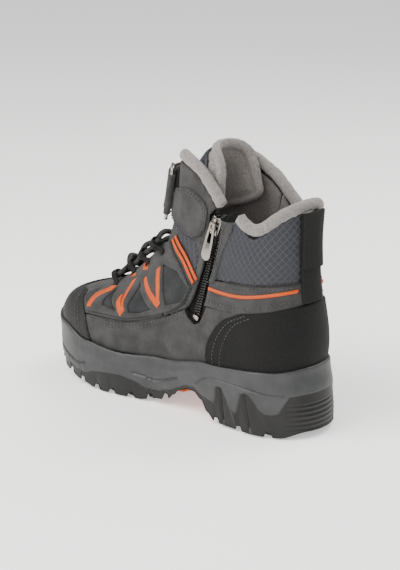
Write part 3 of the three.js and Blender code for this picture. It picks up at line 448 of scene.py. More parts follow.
def surface(name, **sockets):
    """A new material with its Principled shader's own sockets set; returns (material, tree, shader)."""
    material = bpy.data.materials.new(name)
    material.use_nodes = True
    tree = material.node_tree
    shader = tree.nodes["Principled BSDF"]
    for key, value in sockets.items():
        shader.inputs[key.replace("_", " ")].default_value = value
    return material, tree, shader


def mottled(tree, shader, dark, light, scale, coordinate, detail=5.0, spread=(0.35, 0.65)):
    """Two close shades mixed by noise, as dye takes unevenly."""
    cloud = node(tree, "ShaderNodeTexNoise", {"Vector": coordinate, "Scale": scale, "Detail": detail})
    ramp = node(tree, "ShaderNodeValToRGB", {"Fac": cloud.outputs["Fac"]})
    ramp.color_ramp.elements[0].position, ramp.color_ramp.elements[1].position = spread
    ramp.color_ramp.elements[0].color = linear(dark)
    ramp.color_ramp.elements[1].color = linear(light)
    tree.links.new(ramp.outputs["Color"], shader.inputs["Base Color"])
    return ramp


def bump(tree, shader, height, distance, strength=1.0, under=None):
    inputs = {"Height": height, "Distance": distance, "Strength": strength}
    if under is not None:
        inputs["Normal"] = under
    item = node(tree, "ShaderNodeBump", inputs)
    tree.links.new(item.outputs["Normal"], shader.inputs["Normal"])
    return item.outputs["Normal"]


def per_mm(tree, output="Object"):
    """Coordinates in millimetres, from the piece's own space or its UV map."""
    source = node(tree, "ShaderNodeTexCoord")
    size = 1000.0 if output == "Object" else 100.0
    return node(tree, "ShaderNodeVectorMath", {0: source.outputs[output], 1: (size, size, size)},
                operation="MULTIPLY").outputs["Vector"]


def nubuck(name, dark, light, roughness=0.88):
    """Nubuck: buffed grain leather; a dull, soft nap with cloudy shading and fine pores."""
    material, tree, shader = surface(name, Roughness=roughness, Specular_IOR_Level=0.2, Sheen_Weight=0.06,
                                     Sheen_Roughness=0.5)
    place = per_mm(tree)
    mottled(tree, shader, dark, light, 0.11, place, 9.0)
    fine = node(tree, "ShaderNodeTexNoise", {"Vector": place, "Scale": 1.6, "Detail": 3.0})
    soft = node(tree, "ShaderNodeTexNoise", {"Vector": place, "Scale": 0.35, "Detail": 2.0})
    under = bump(tree, shader, soft.outputs["Fac"], 0.00035, 0.5)
    bump(tree, shader, fine.outputs["Fac"], 0.00012, 0.6, under)
    return material


def coated_leather(name, dark, light):
    """Polyurethane-coated split leather with a moulded grain: dull black with small raised cells."""
    material, tree, shader = surface(name, Roughness=0.6, Specular_IOR_Level=0.3)
    place = per_mm(tree)
    mottled(tree, shader, dark, light, 0.9, place, 4.0)
    cells = node(tree, "ShaderNodeTexVoronoi", {"Vector": place, "Scale": 1.15})
    bump(tree, shader, cells.outputs["Distance"], 0.0003, 0.8)
    return material


def linen_weave(name, dark, light, pitch=1.1):
    """Rubberised plain weave: fine crossing ribs, one thread every 1.1 mm as drawn, finer in truth."""
    material, tree, shader = surface(name, Roughness=0.7, Specular_IOR_Level=0.2)
    place = per_mm(tree, "UV")
    mottled(tree, shader, dark, light, 0.6, place, 6.0)
    split = node(tree, "ShaderNodeSeparateXYZ", {"Vector": place})
    heights = []
    for axis, weight in (("X", 1.0), ("Y", 0.7)):
        wave = node(tree, "ShaderNodeMath", {0: split.outputs[axis], 1: 2 * math.pi / pitch},
                    operation="MULTIPLY")
        ridge = node(tree, "ShaderNodeMath", {0: wave.outputs[0]}, operation="SINE")
        heights.append(node(tree, "ShaderNodeMath", {0: ridge.outputs[0], 1: weight},
                            operation="MULTIPLY").outputs[0])
    both = node(tree, "ShaderNodeMath", {0: heights[0], 1: heights[1]}, operation="ADD")
    rough = node(tree, "ShaderNodeTexNoise", {"Vector": place, "Scale": 2.2, "Detail": 4.0})
    total = node(tree, "ShaderNodeMath", {0: rough.outputs["Fac"], 1: 1.5, 2: both.outputs[0]},
                 operation="MULTIPLY_ADD")
    bump(tree, shader, total.outputs[0], 0.00012, 0.75)
    return material


def ripstop(name, ground, line, cell=3.6):
    """Ripstop polyamide: a fine weave with a raised diamond grid of thicker threads."""
    material, tree, shader = surface(name, Roughness=0.55, Specular_IOR_Level=0.3)
    place = per_mm(tree, "UV")
    split = node(tree, "ShaderNodeSeparateXYZ", {"Vector": place})
    lines = []
    for sign in (1.0, -1.0):
        tilted = node(tree, "ShaderNodeMath", {0: split.outputs["X"], 1: 0.75 * sign, 2: split.outputs["Y"]},
                      operation="MULTIPLY_ADD")
        turns = node(tree, "ShaderNodeMath", {0: tilted.outputs[0], 1: cell}, operation="DIVIDE")
        lines.append(node(tree, "ShaderNodeMath", {0: turns.outputs[0], 1: 1.0},
                          operation="PINGPONG").outputs[0])
    near = node(tree, "ShaderNodeMath", {0: lines[0], 1: lines[1]}, operation="MINIMUM")
    ramp = node(tree, "ShaderNodeValToRGB", {"Fac": near.outputs[0]})
    ramp.color_ramp.elements[0].position = 0.07
    ramp.color_ramp.elements[1].position = 0.24
    ramp.color_ramp.elements[0].color = linear(line)
    ramp.color_ramp.elements[1].color = linear(ground)
    tree.links.new(ramp.outputs["Color"], shader.inputs["Base Color"])
    weave = node(tree, "ShaderNodeTexNoise", {"Vector": place, "Scale": 2.6, "Detail": 3.0})
    under = bump(tree, shader, weave.outputs["Fac"], 0.0001, 0.6)
    bump(tree, shader, ramp.outputs["Alpha"], 0.0002, 0.0, under)
    raised = node(tree, "ShaderNodeMath", {0: near.outputs[0], 1: 0.25}, operation="MINIMUM")
    bump(tree, shader, raised.outputs[0], 0.0012, 0.8, under)
    return material


def fleece(name, dark, light):
    """Polyester fleece: a matt, clumped pile with a pale sheen at grazing angles."""
    material, tree, shader = surface(name, Roughness=0.95, Specular_IOR_Level=0.1, Sheen_Weight=0.25,
                                     Sheen_Roughness=0.6)
    place = per_mm(tree)
    mottled(tree, shader, dark, light, 1.1, place, 8.0, (0.3, 0.7))
    clump = node(tree, "ShaderNodeTexNoise",
                 {"Vector": place, "Scale": 1.0, "Detail": 8.0, "Roughness": 0.75})
    bump(tree, shader, clump.outputs["Fac"], 0.0011, 0.9)
    return material


def moulded(name, dark, light, roughness=0.55, grain=0.00012, scale=1.4, coat=0.0):
    """Injection-moulded rubber or plastic: even colour with a faint spark-eroded texture."""
    material, tree, shader = surface(name, Roughness=roughness, Specular_IOR_Level=0.35, Coat_Weight=coat)
    place = per_mm(tree)
    mottled(tree, shader, dark, light, 0.08, place, 5.0)
    texture = node(tree, "ShaderNodeTexNoise", {"Vector": place, "Scale": scale, "Detail": 3.0})
    bump(tree, shader, texture.outputs["Fac"], grain, 0.7)
    return material


def two_tone_sole(name, foam, foam_light, rubber, rubber_light):
    """Compression-moulded EVA with a slight gloss on its curves, and black rubber in its side."""
    material, tree, shader = surface(name, Roughness=0.48, Specular_IOR_Level=0.35)
    place = per_mm(tree)
    share = node(tree, "ShaderNodeAttribute", attribute_name="rubber").outputs["Fac"]
    cloud = node(tree, "ShaderNodeTexNoise", {"Vector": place, "Scale": 0.09, "Detail": 5.0})
    tones = []
    for dark, light in ((foam, foam_light), (rubber, rubber_light)):
        ramp = node(tree, "ShaderNodeValToRGB", {"Fac": cloud.outputs["Fac"]})
        ramp.color_ramp.elements[0].position, ramp.color_ramp.elements[1].position = 0.35, 0.65
        ramp.color_ramp.elements[0].color = linear(dark)
        ramp.color_ramp.elements[1].color = linear(light)
        tones.append(ramp.outputs["Color"])
    mix = node(tree, "ShaderNodeMix", data_type="RGBA")
    tree.links.new(share, mix.inputs[0])
    tree.links.new(tones[0], mix.inputs[6])
    tree.links.new(tones[1], mix.inputs[7])
    tree.links.new(mix.outputs[2], shader.inputs["Base Color"])
    grain = node(tree, "ShaderNodeTexNoise", {"Vector": place, "Scale": 1.5, "Detail": 3.0})
    bump(tree, shader, grain.outputs["Fac"], 0.00013, 0.7)
    return material


def ribbed_webbing(name, dark, light):
    """Polyester webbing: dull, with fine ribs across its width, one every 0.9 mm."""
    material, tree, shader = surface(name, Roughness=0.75, Specular_IOR_Level=0.2)
    place = per_mm(tree, "UV")
    mottled(tree, shader, dark, light, 1.2, place, 4.0)
    split = node(tree, "ShaderNodeSeparateXYZ", {"Vector": place})
    fine = node(tree, "ShaderNodeMath", {0: split.outputs["X"], 1: 2 * math.pi / 0.9}, operation="MULTIPLY")
    ridge = node(tree, "ShaderNodeMath", {0: fine.outputs[0]}, operation="SINE")
    bump(tree, shader, ridge.outputs[0], 0.00008, 0.6)
    return material


def braid(name, dark, light):
    """Elastic lace: black braided sleeve with pale tracer threads in short dashes."""
    material, tree, shader = surface(name, Roughness=0.7)
    place = per_mm(tree, "UV")
    split = node(tree, "ShaderNodeSeparateXYZ", {"Vector": place})
    checks = []
    for sign in (1.0, -1.0):
        tilted = node(tree, "ShaderNodeMath", {0: split.outputs["Y"], 1: 1.2 * sign, 2: split.outputs["X"]},
                      operation="MULTIPLY_ADD")
        turns = node(tree, "ShaderNodeMath", {0: tilted.outputs[0], 1: 1.6}, operation="DIVIDE")
        checks.append(node(tree, "ShaderNodeMath", {0: turns.outputs[0], 1: 1.0},
                           operation="PINGPONG").outputs[0])
    both = node(tree, "ShaderNodeMath", {0: checks[0], 1: checks[1]}, operation="MULTIPLY")
    fleck = node(tree, "ShaderNodeValToRGB", {"Fac": both.outputs[0]})
    fleck.color_ramp.elements[0].position, fleck.color_ramp.elements[1].position = 0.78, 0.86
    fleck.color_ramp.elements[0].color = linear(dark)
    fleck.color_ramp.elements[1].color = linear(light)
    tree.links.new(fleck.outputs["Color"], shader.inputs["Base Color"])
    bump(tree, shader, both.outputs[0], 0.0004, 0.8)
    return material


def plated(name, colour, roughness):
    """Nickel-plated zinc: bright metal with faint tumbling marks."""
    material, tree, shader = surface(name, Metallic=1.0, Base_Color=linear(colour))
    place = per_mm(tree)
    marks = node(tree, "ShaderNodeTexNoise", {"Vector": place, "Scale": 0.8, "Detail": 4.0})
    spread = node(tree, "ShaderNodeMapRange", {"Value": marks.outputs["Fac"], "To Min": roughness * 0.7,
                                               "To Max": roughness * 1.4})
    tree.links.new(spread.outputs["Result"], shader.inputs["Roughness"])
    bump(tree, shader, marks.outputs["Fac"], 0.00005, 0.3)
    return material


# ---- places shared by several pieces ----------------------------------------------------------------
OVER, BASE = 0.9, -0.7                     # outer faces of the overlays and the base panels
TOE_SEAM = [(-55, 20), (-60, 42), (-66, 54), (-80, 63), (-97, 59.8)]
COUNTER_FRONT = [(45, 30), (46, 53), (57, 71), (74, 80.5)]
COUNTER_BACK = (109.3, 89)
ZIP_LOW, ZIP_HIGH = np.array([32.3, 70.2]), np.array([51, 145.0])
COLLAR_IN = flowing([(70, 143.5), (76, 137.5), (82, 134), (90, 139), (98, 147), (105, 151.5)], 4)
COLLAR_OUT = flowing([(20, 176), (40, 168), (58, 157), (70, 144), (82, 138), (92, 142), (98, 147.5),
                      (105, 151.5)], 4)
FLAP_TOP = flowing([(14, 176.5), (33, 171), (44, 161), (54, 149.5)], 5)
LOOP_SPOTS = np.array([(-53, 73.2), (-38, 84), (-20, 97.5), (-4, 111)])
FOOT = 0.004


def along_zip(offset, z):
    """Side-view point beside the zip's line, at height z."""
    run = (ZIP_HIGH - ZIP_LOW) / np.linalg.norm(ZIP_HIGH - ZIP_LOW)
    low = ZIP_LOW + np.array([run[1], -run[0]]) * offset
    return low + run * (z - low[1]) / run[1]


def moved(points, dy, dz):
    return np.asarray(points, float) + (dy, dz)


def from_foot(points):
    flat = domain(flowing(points, 8))
    first = int(np.argmax(flat[:, 1] > FOOT))
    return np.concatenate([[(flat[max(first - 1, 0), 0], FOOT)], flat[first:]])


def mirror(outline):
    return np.asarray(outline) * (-1, 1)


def toe_line():
    return from_foot(TOE_SEAM[:4])


def cap_outline():
    half = toe_line()
    top = domain([TOE_SEAM[4]])
    other = (np.array([2, 0]) + half * (-1, 1))[::-1]
    return np.concatenate([half, [(1, top[0, 1])], other])


def counter_outline():
    half = from_foot(COUNTER_FRONT)
    top = domain([COUNTER_BACK])[0, 1]
    return np.concatenate([half, [(0.13, top - 0.012), (0, top), (-0.13, top - 0.012)], mirror(half)[::-1]])


def lip_level(y):
    """Height of the midsole's rim at y, side view."""
    spots = np.array([(-112, 45), (-81, 41.5), (-61, 34.5), (-29, 31.5), (6, 34), (48, 41), (95, 45),
                      (120, 49)])
    return stepped(spots, y)


def stepped(spots, y):
    """Eased value between the given places."""
    y = np.asarray(y, float)
    i = np.clip(np.searchsorted(spots[:, 0], y) - 1, 0, len(spots) - 2)
    t = ease((y - spots[i, 0]) / (spots[i + 1, 0] - spots[i, 0]))
    return spots[i, 1] * (1 - t) + spots[i + 1, 1] * t


# ---- the upper ----------------------------------------------------------------------------------------
WINDOWS = [
    [(-49, 61), (-47, 72), (-34.5, 60.5)],
    [(-23.5, 61), (-21.5, 81), (-5.5, 66.5), (-14, 62.5)],
    [(1, 99), (15, 96.5), (27, 88.5), (21.5, 77.5), (7, 72), (1.5, 83)],
]
DARTS = [
    [(-63, 57), (-53.5, 70.5), (-49.5, 71), (-50.5, 68.5), (-59, 57.8)],
    [(-29.5, 57.5), (-37, 68.5), (-35, 70), (-29.8, 63.5), (-31.5, 79), (-27.5, 82), (-26.7, 62)],
    [(0.5, 68.5), (-17.2, 84.5), (-14.8, 86.8), (-2.2, 74.5), (-4.6, 94), (-0.8, 97), (2.4, 72)],
]
SMALL_WINDOW = [(-76, 62), (-70.5, 65.5), (-61.5, 63), (-66, 59.5)]
CHIPS = [[(-44, 80.5), (-39, 79), (-30, 82.5), (-31.5, 83.5)],
         [(-25, 92), (-22.5, 88.5), (-15.5, 90.5), (-17, 95)]]


def wing_outline(side):
    points = [(-64, 55), (-44, 56.5), (-24, 57), (-2, 63), (12, 69), (22, 76), (28.5, 89), (20, 98),
              (12, 106.5),
              (5, 115.5), (-3.5, 112), (-19, 98.5), (-38, 84.5), (-56, 73.5), (-64, 66)]
    return domain(points, side)


def shaped(points, side, steps=0):
    return domain(flowing(points, steps) if steps else points, side)


def quarter_outline(side):
    """The lower quarter: from the toe seam to the counter, from the feather line to the lower seam."""
    seam = flowing([(-61, 52.5), (-24, 54), (4, 62.5), (23, 72)], 8)
    toe = toe_line() + (0.03, 0)
    seam_flat = domain(seam)
    front = toe[toe[:, 1] < seam_flat[0, 1] - 0.01]
    zip_foot = [(26.5, 67), (32, 63.5), (38, 66.5), (43, 78)] if side > 0 else [(34, 78), (46, 80)]
    rear = from_foot(COUNTER_FRONT) + (-0.03, 0)
    outline = np.concatenate([front, seam_flat, domain(zip_foot), rear[::-1]])
    return outline if side > 0 else mirror(outline)


def band_outline(side):
    front = [along_zip(6.5, 97.5), along_zip(6.5, 79)] if side > 0 else [(40, 97), (40, 79)]
    flat = domain([*front, (60, 78.5), (76, 79), (108, 89), (108, 102.5), (72, 98.2)])
    flat[4:6, 0] = 0.02
    return flat if side > 0 else mirror(flat)


def collar_outline(side):
    top = moved(COLLAR_IN if side > 0 else COLLAR_OUT[12:], 0, -2.8)
    front = [along_zip(6.5, 98.5), along_zip(6.5, 138)] if side > 0 else [(44, 98.5), (53, 138)]
    flat = domain([*front, *top, (107, 147.5), (108, 104), (72, 99.8)])
    flat[-3:-1, 0] = 0.0
    return flat if side > 0 else mirror(flat)


def shaft_outline(side):
    if side > 0:
        rear = [along_zip(-6.5, 141), along_zip(-6.5, 76)]
        top = moved(FLAP_TOP, -2, -4.6)[:-1]
        low = [(24, 73.5), (6, 64.5)]
    else:
        rear = [(51, 134), (42, 98), (42, 81)]
        top = moved(COLLAR_OUT[:14], -2, -4.6)
        low = [(33, 79), (23, 74), (6, 64.5)]
    flat = domain([(-1, 112), (7, 134), (10, 152), *top, *rear, *low])
    return flat if side > 0 else mirror(flat)


def throat_edge():
    return [(-3, 110), (-19, 96), (-38, 82.5), (-58, 72.5)]


def vamp_outline():
    side = domain([(-60.5, 53.5), (-24, 55), (4, 63.5), (6, 80), *throat_edge()])
    cap = cap_outline() * (1, 1)
    rim = cap[cap[:, 1] > side[0, 1] - 0.005]
    rim = 1 + (rim - (1, 0)) * (0.97, 1) + (0, -0.02)
    rim = np.stack([rim[:, 0], rim[:, 1] - 1], axis=1) if rim[:, 1].min() > 1 else rim
    return np.concatenate([side, (np.array([2, 0]) + side * (-1, 1))[::-1], rim[::-1]])


RING_PATCH = [(10, 153), (26, 155.5), (42, 146.5), (40, 131), (33, 124.5), (24, 123), (10, 129), (1.5, 135.5),
              (2, 146)]


def build_upper(m):
    """Panels, overlays, piping and their stitching."""
    fine = 1.35
    cap = cap_outline()
    rim = groove(np.concatenate([toe_line() + (0.028, 0.0)]), 0.35, 0.8)
    obj = panel("toe cap", cap, OVER, 1.5, fine, puff=0.5, edge_drop=0.7, relief=lambda v, e: rim(v))
    finish_piece(obj, "boot", "coated_leather", m["toe_leather"], "toe_cap", "toe_puff")
    counter = counter_outline()
    lines = [counter[(counter[:, 0] > 0)] * (0.93, 0.965),
             mirror(counter[(counter[:, 0] > 0)] * (0.93, 0.965))]
    obj = panel("heel counter", counter, OVER, 1.5, fine, puff=0.3, edge_drop=0.6)
    finish_piece(obj, "boot", "coated_leather", m["counter"], "heel_counter", "heel_stiffener")
    seams = []
    for name, side in (("medial", 1), ("lateral", -1)):
        obj = panel(f"quarter {name}", quarter_outline(side), BASE, 1.5, fine, edge_drop=0.3, grain=0.25)
        finish_piece(obj, "boot", "nubuck", m["nubuck"], f"quarter_{name}")
        holes = [shaped(w, side) for w in WINDOWS] + [shaped(SMALL_WINDOW, side)]
        obj = panel(f"wing {name}", wing_outline(side), OVER + 0.35, 1.7, fine * 0.85, holes=holes,
                    edge_drop=0.8,
                    edge_width=1.3, puff=0.15)
        finish_piece(obj, "boot", "nubuck", m["nubuck"], f"wing_{name}")
        for k, window in enumerate(WINDOWS + [SMALL_WINDOW]):
            middle = np.mean(window, axis=0)
            grown = middle + (np.asarray(window) - middle) * 1.22
            # Each window's patch is the same nubuck drawn darker, as painted shade in the recess under the
            # wing.
            patch = panel(f"mesh window {name} {k + 1}", shaped(grown, side), -0.35, 0.4, fine * 1.3,
                          puff=0.5,
                          puff_width=5, edge_drop=0.2)
            finish_piece(patch, "boot", "nubuck", m["window"])
        for k, dart in enumerate(DARTS):
            piece = panel(f"orange dart {name} {k + 1}", shaped(dart, side), OVER + 0.95, 1.1, 0.8,
                          edge_drop=0.3,
                          edge_width=0.5)
            finish_piece(piece, "boot", "orange_trim", m["orange"])
        for k, chip in enumerate(CHIPS):
            piece = panel(f"orange chip {name} {k + 1}", shaped(chip, side), OVER + 0.95, 1.1, 0.8,
                          edge_drop=0.3,
                          edge_width=0.5)
            finish_piece(piece, "boot", "orange_trim", m["orange"])
        obj = panel(f"ankle band {name}", band_outline(side), BASE + 0.3, 1.5, fine, edge_drop=0.35)
        finish_piece(obj, "boot", "nubuck", m["nubuck"], f"ankle_band_{name}")
        obj = panel(f"collar panel {name}", collar_outline(side), BASE - 0.1, 1.5, fine * 1.1, edge_drop=0.4,
                    puff=2.0, puff_width=12)
        finish_piece(obj, "boot", "ripstop", m["ripstop"], f"collar_panel_{name}")
        obj = panel(f"shaft front {name}", shaft_outline(side), BASE, 1.5, fine, edge_drop=0.3, grain=0.25)
        finish_piece(obj, "boot", "nubuck", m["nubuck"], f"shaft_front_{name}")
        piped = flowing([(45 if side > 0 else 41, 91.5), (60, 90.7), (76, 92), (106, 98.2)], 7)
        strip = np.concatenate([moved(piped, 0, 1.15), moved(piped, 0, -1.15)[::-1]])
        obj = panel(f"ankle piping {name}", domain(strip, side), OVER - 0.1, 1.4, 1.0, edge_drop=0.7,
                    edge_width=1.2)
        finish_piece(obj, "boot", "orange_trim", m["orange"], f"ankle_piping_{name}")
        for k, (a, b) in enumerate(((0.3, 2.7), (4.6, 7.0))):
            edge_line = flowing([(6, 115.5), (13, 107.5), (21, 99.5), (29.5, 90.5)], 6)
            run = np.array([0.72, 0.69])
            inner, outer = edge_line + run * (1.2 + a), edge_line + run * (1.2 + b)
            obj = panel(f"wing piping {name} {k + 1}", domain(np.concatenate([inner, outer[::-1]]), side),
                        OVER + 0.2, 1.2, 0.9, edge_drop=0.5, edge_width=0.8)
            finish_piece(obj, "boot", "orange_trim", m["orange"],
                         *([f"wing_piping_{name}"] if k == 0 else []))
        seam = flowing([(-60, 51), (-24, 52.4), (4, 60.8), (24, 70.8)], 6)
        seams += [(domain(seam, side), BASE + 0.1, 0.0),
                  (domain(moved(seam, 0.5, -2.4), side), BASE + 0.1, 0.0)]
        seams += [(domain(flowing([(-61, 56.8), (-24, 58.6), (-3, 64.6), (11, 70.4), (20.6, 76.6)], 6), side),
                   OVER + 0.05, 0.0)]
        seams += [(domain(flowing([(20.6, 76.6), (27, 88.8), (19, 97.2), (11, 105.4), (5, 113.5)], 5), side),
                   OVER + 0.05, 0.0)]
        seams += [(domain(flowing([(-3, 110.6), (-19, 97), (-37.5, 83.2), (-55.5, 72.2)], 6), side),
                   OVER + 0.05, 0.0)]
        edge = from_foot(COUNTER_FRONT)
        for inset in (0.022, 0.045):
            seams += [(np.abs(edge - (inset, inset * 0.3)) * (side, 1), OVER + 0.05, 0.0)]
        seams += [(domain(flowing([(43, 82.6), (60, 82.6), (76, 83.6), (104, 91.5)], 6), side), BASE + 0.35,
                   0.0),
                  (domain(flowing([(43, 95.8), (72, 96.4), (104, 100.4)], 6), side), BASE + 0.35, 0.0)]
    obj = panel("vamp", vamp_outline(), BASE, 1.5, fine, edge_drop=0.3, grain=0.2)
    finish_piece(obj, "boot", "nubuck", m["nubuck"], "vamp")
    toe = toe_line()
    for inset in (0.012, 0.03):
        for mirror_side in (1, -1):
            line = toe + (inset * 0 + 0.018 + inset, 0.0)
            if mirror_side < 0:
                line = (np.array([2, 0]) + line * (-1, 1))
            seams += [(line, OVER + 0.02, 0.0)]
    guard = [along_zip(6.3, 97), (49.5, 96), (56, 115), (65, 134), (66, 138.5), along_zip(6.3, 139.5)]
    obj = panel("zip guard", domain(guard), OVER - 0.5, 1.2, fine, edge_drop=0.4)
    finish_piece(obj, "boot", "nubuck", m["nubuck"])
    for offset in (7.6, 9.4):
        seams += [(domain([along_zip(offset, 98), along_zip(offset, 118), along_zip(offset, 138)]),
                   OVER - 0.4, 0.0)]
    seams += [(domain([(48.4, 98), (54.8, 115), (63.6, 133.5)]), OVER - 0.4, 0.0)]
    for name, side in (("medial", 1), ("lateral", -1)):
        patch = [(12.5, 119.5), (20.5, 111.5), (32.5, 99), (34, 112), (31, 121), (24, 121.5), (10, 127.5)]
        obj = panel(f"ripstop inset {name}", domain(patch, side), BASE + 0.5, 1.0, fine, edge_drop=0.4,
                    puff=0.5,
                    puff_width=5)
        finish_piece(obj, "boot", "ripstop", m["ripstop"])
    patch = domain(flowing(RING_PATCH + RING_PATCH[:1], 4)[:-1], 1)
    obj = panel("ring patch", patch, OVER + 0.1, 1.3, fine, edge_drop=0.5)
    finish_piece(obj, "boot", "nubuck", m["nubuck"], "ring_tab")
    inner = flowing(RING_PATCH + RING_PATCH[:1], 6)
    middle = inner.mean(axis=0)
    for scale in (0.93, 0.84):
        seams += [(domain(middle + (inner - middle) * scale, 1), OVER + 0.15, 0.0)]
    for offset, top, low in ((-8.6, 137, 74), (-10.6, 139, 73), (8.6, 137, 84), (10.6, 137, 84)):
        seams += [(domain([along_zip(offset, low), along_zip(offset, (low + top) / 2),
                           along_zip(offset, top)], 1),
                   BASE + 0.12, 0.0)]
    groups = {}
    for line, t, inset in seams:
        groups.setdefault(t, []).append(line)
    for k, (t, lines) in enumerate(groups.items()):
        obj = stitches(f"stitching {k + 1}", lines, t)
        finish_piece(obj, "boot", "nubuck", m["thread"])


def build_lining(m):
    """Fleece inside the boot."""
    fine = 2.2
    below = 6.6

    def woolly(verts, edge):
        return np.array([0.55 * mnoise.noise(Vector((v[0] * 0.45, v[1] * 0.45, 7.7))) for v in verts])

    clear = [along_zip(12, 72), along_zip(12, 132)]
    rear = np.concatenate([domain(clear), domain(moved(COLLAR_IN, 0, -below)),
                           [(0.0, domain([(107, 151 - below)])[0, 1])],
                           domain(moved(COLLAR_OUT[9:], 0, -below), -1)[::-1],
                           [(-0.45, 0.75), (-0.43, FOOT), (0.43, FOOT)]])
    obj = panel("lining rear", rear, -3.3, 2.4, fine, relief=woolly, edge_drop=0.8)
    finish_piece(obj, "boot", "fleece", m["fleece_dark"], "lining_rear")
    side = np.concatenate([[(0.438, FOOT), (0.438, 0.24)],
                           domain([(8, 62), (-4, 108), (-19, 94), (-38, 81), (-58, 72.5)])])
    obj = panel("lining forefoot", np.concatenate([side, (np.array([2, 0]) + side * (-1, 1))[::-1]]), -3.3,
                2.4, fine,
                relief=woolly, edge_drop=0.8)
    finish_piece(obj, "boot", "fleece", m["fleece_dark"], "lining_forefoot")
    for name, hand in (("medial", 1), ("lateral", -1)):
        top = moved(FLAP_TOP[:-5] if hand > 0 else COLLAR_OUT[:10], -1, -below)
        back = ([along_zip(-12, 133), along_zip(-12, 70)] if hand > 0
                else [(60, 148), (59, 135), (53.5, 98), (38, 66)])
        outline = domain([(10, 63.5), (-2, 108), (8, 134), (11, 150), *top, *back], hand)
        obj = panel(f"lining front {name}", outline, -3.3, 2.4, fine, relief=woolly, edge_drop=0.8)
        finish_piece(obj, "boot", "fleece", m["fleece_dark"], f"lining_front_{name}")


def fuzzed(obj, size, depth, seed=0.0):
    """Roughens a fleece surface: clumps of pile standing a little proud."""
    mesh = obj.data
    count = len(mesh.vertices)
    places = np.zeros(count * 3)
    normals = np.zeros(count * 3)
    mesh.vertices.foreach_get("co", places)
    mesh.vertices.foreach_get("normal", normals)
    places, normals = places.reshape(-1, 3), normals.reshape(-1, 3)
    lift = np.array([mnoise.fractal(Vector(p / (size * MM)) + Vector((seed, 0, 0)), 0.9, 2.0,
                                    4) for p in places])
    places += normals * (lift * depth * MM)[:, None]
    mesh.vertices.foreach_set("co", places.ravel())
    mesh.update()


ROLL = 3.9


def even_path(points, step, soft):
    """A path through points, evenly spaced, its corners eased over about soft millimetres."""
    fine = densify(points, 0.5, closed=False)
    reach = int(soft / 0.5)
    weights = np.hanning(2 * reach + 1)[1:-1] if reach > 1 else np.ones(1)
    reach = len(weights) // 2
    padded = np.concatenate([2 * fine[0] - fine[reach:0:-1], fine, 2 * fine[-1] - fine[-2:-reach - 2:-1]])
    eased = np.stack([np.convolve(padded[:, k], weights / weights.sum(), mode="valid") for k in range(3)],
                     axis=1)
    skip = max(1, int(round(step / 0.5)))
    return np.concatenate([eased[:-1:skip], eased[-1:]])


def build_rolls(m):
    """The padded rolls round the collar and along the front flap."""
    depth = -ROLL + 1.0
    rear_top = domain([(107, 153.5)])[0, 1]
    rim = np.concatenate([lay(*domain(COLLAR_IN).T, depth), lay(0.0, rear_top, depth),
                          lay(*domain(COLLAR_OUT, -1).T, depth)[::-1]])
    for name, points, nodes in (("collar roll", rim, ("collar_roll",)),
                                ("front flap roll", lay(*domain(FLAP_TOP).T, depth), ("front_roll",))):
        path = even_path(points, 0.9, 20.0)
        obj = tube(name, path, ROLL, 40, up=(0, 0, 1))
        deselect()
        fuzzed(obj, 3.4, 0.42)
        finish_piece(obj, "boot", "fleece", m["fleece"], *nodes)


TONGUE_LINE = np.array([(-42, 69), (-22, 87), (-7, 109), (1, 131), (6, 149), (14, 166), (31, 187.5)], float)
TONGUE_WRAP = np.array([18, 18, 19, 20.5, 21.5, 22, 21], float)   # radius it is bent to round the instep


def tongue_place(across, along, lift):
    """A point of the tongue: across in mm round it, lateral negative; along 0 to 1; lift out of its front."""
    along = np.clip(along, 0, 1)
    line = spline(TONGUE_LINE, along)
    run = spline(TONGUE_LINE, np.minimum(along + 0.02, 1)) - spline(TONGUE_LINE, np.maximum(along - 0.02, 0))
    run = run / np.linalg.norm(run, axis=1)[:, None]
    radius = spline(TONGUE_WRAP, along)
    turn = np.clip(np.abs(across) / radius, 0, math.pi / 2)
    straight = np.abs(across) - turn * radius
    hand = np.sign(across)
    x = hand * radius * np.sin(turn)
    back = radius * (1 - np.cos(turn)) + straight
    outward = np.stack([hand * np.sin(turn), -run[:, 1] * np.cos(turn), run[:, 0] * np.cos(turn)], axis=1)
    base = np.stack([x, line[:, 0] + back * 0.98, line[:, 1] - back * 0.1], axis=1)
    return base + outward * np.asarray(lift)[:, None] + ORIGIN


def tongue_level(z):
    """along at which the tongue's centre line reaches height z."""
    steps = np.linspace(0, 1, 400)
    return np.interp(z, spline(TONGUE_LINE, steps)[:, 1], steps)


TONGUE_LONG = 150.0


def tongue_flat(points):
    """Flat outline in millimetres from (across, height of centre line) points."""
    points = np.asarray(points, float)
    return np.stack([points[:, 0], tongue_level(points[:, 1]) * TONGUE_LONG], axis=1)


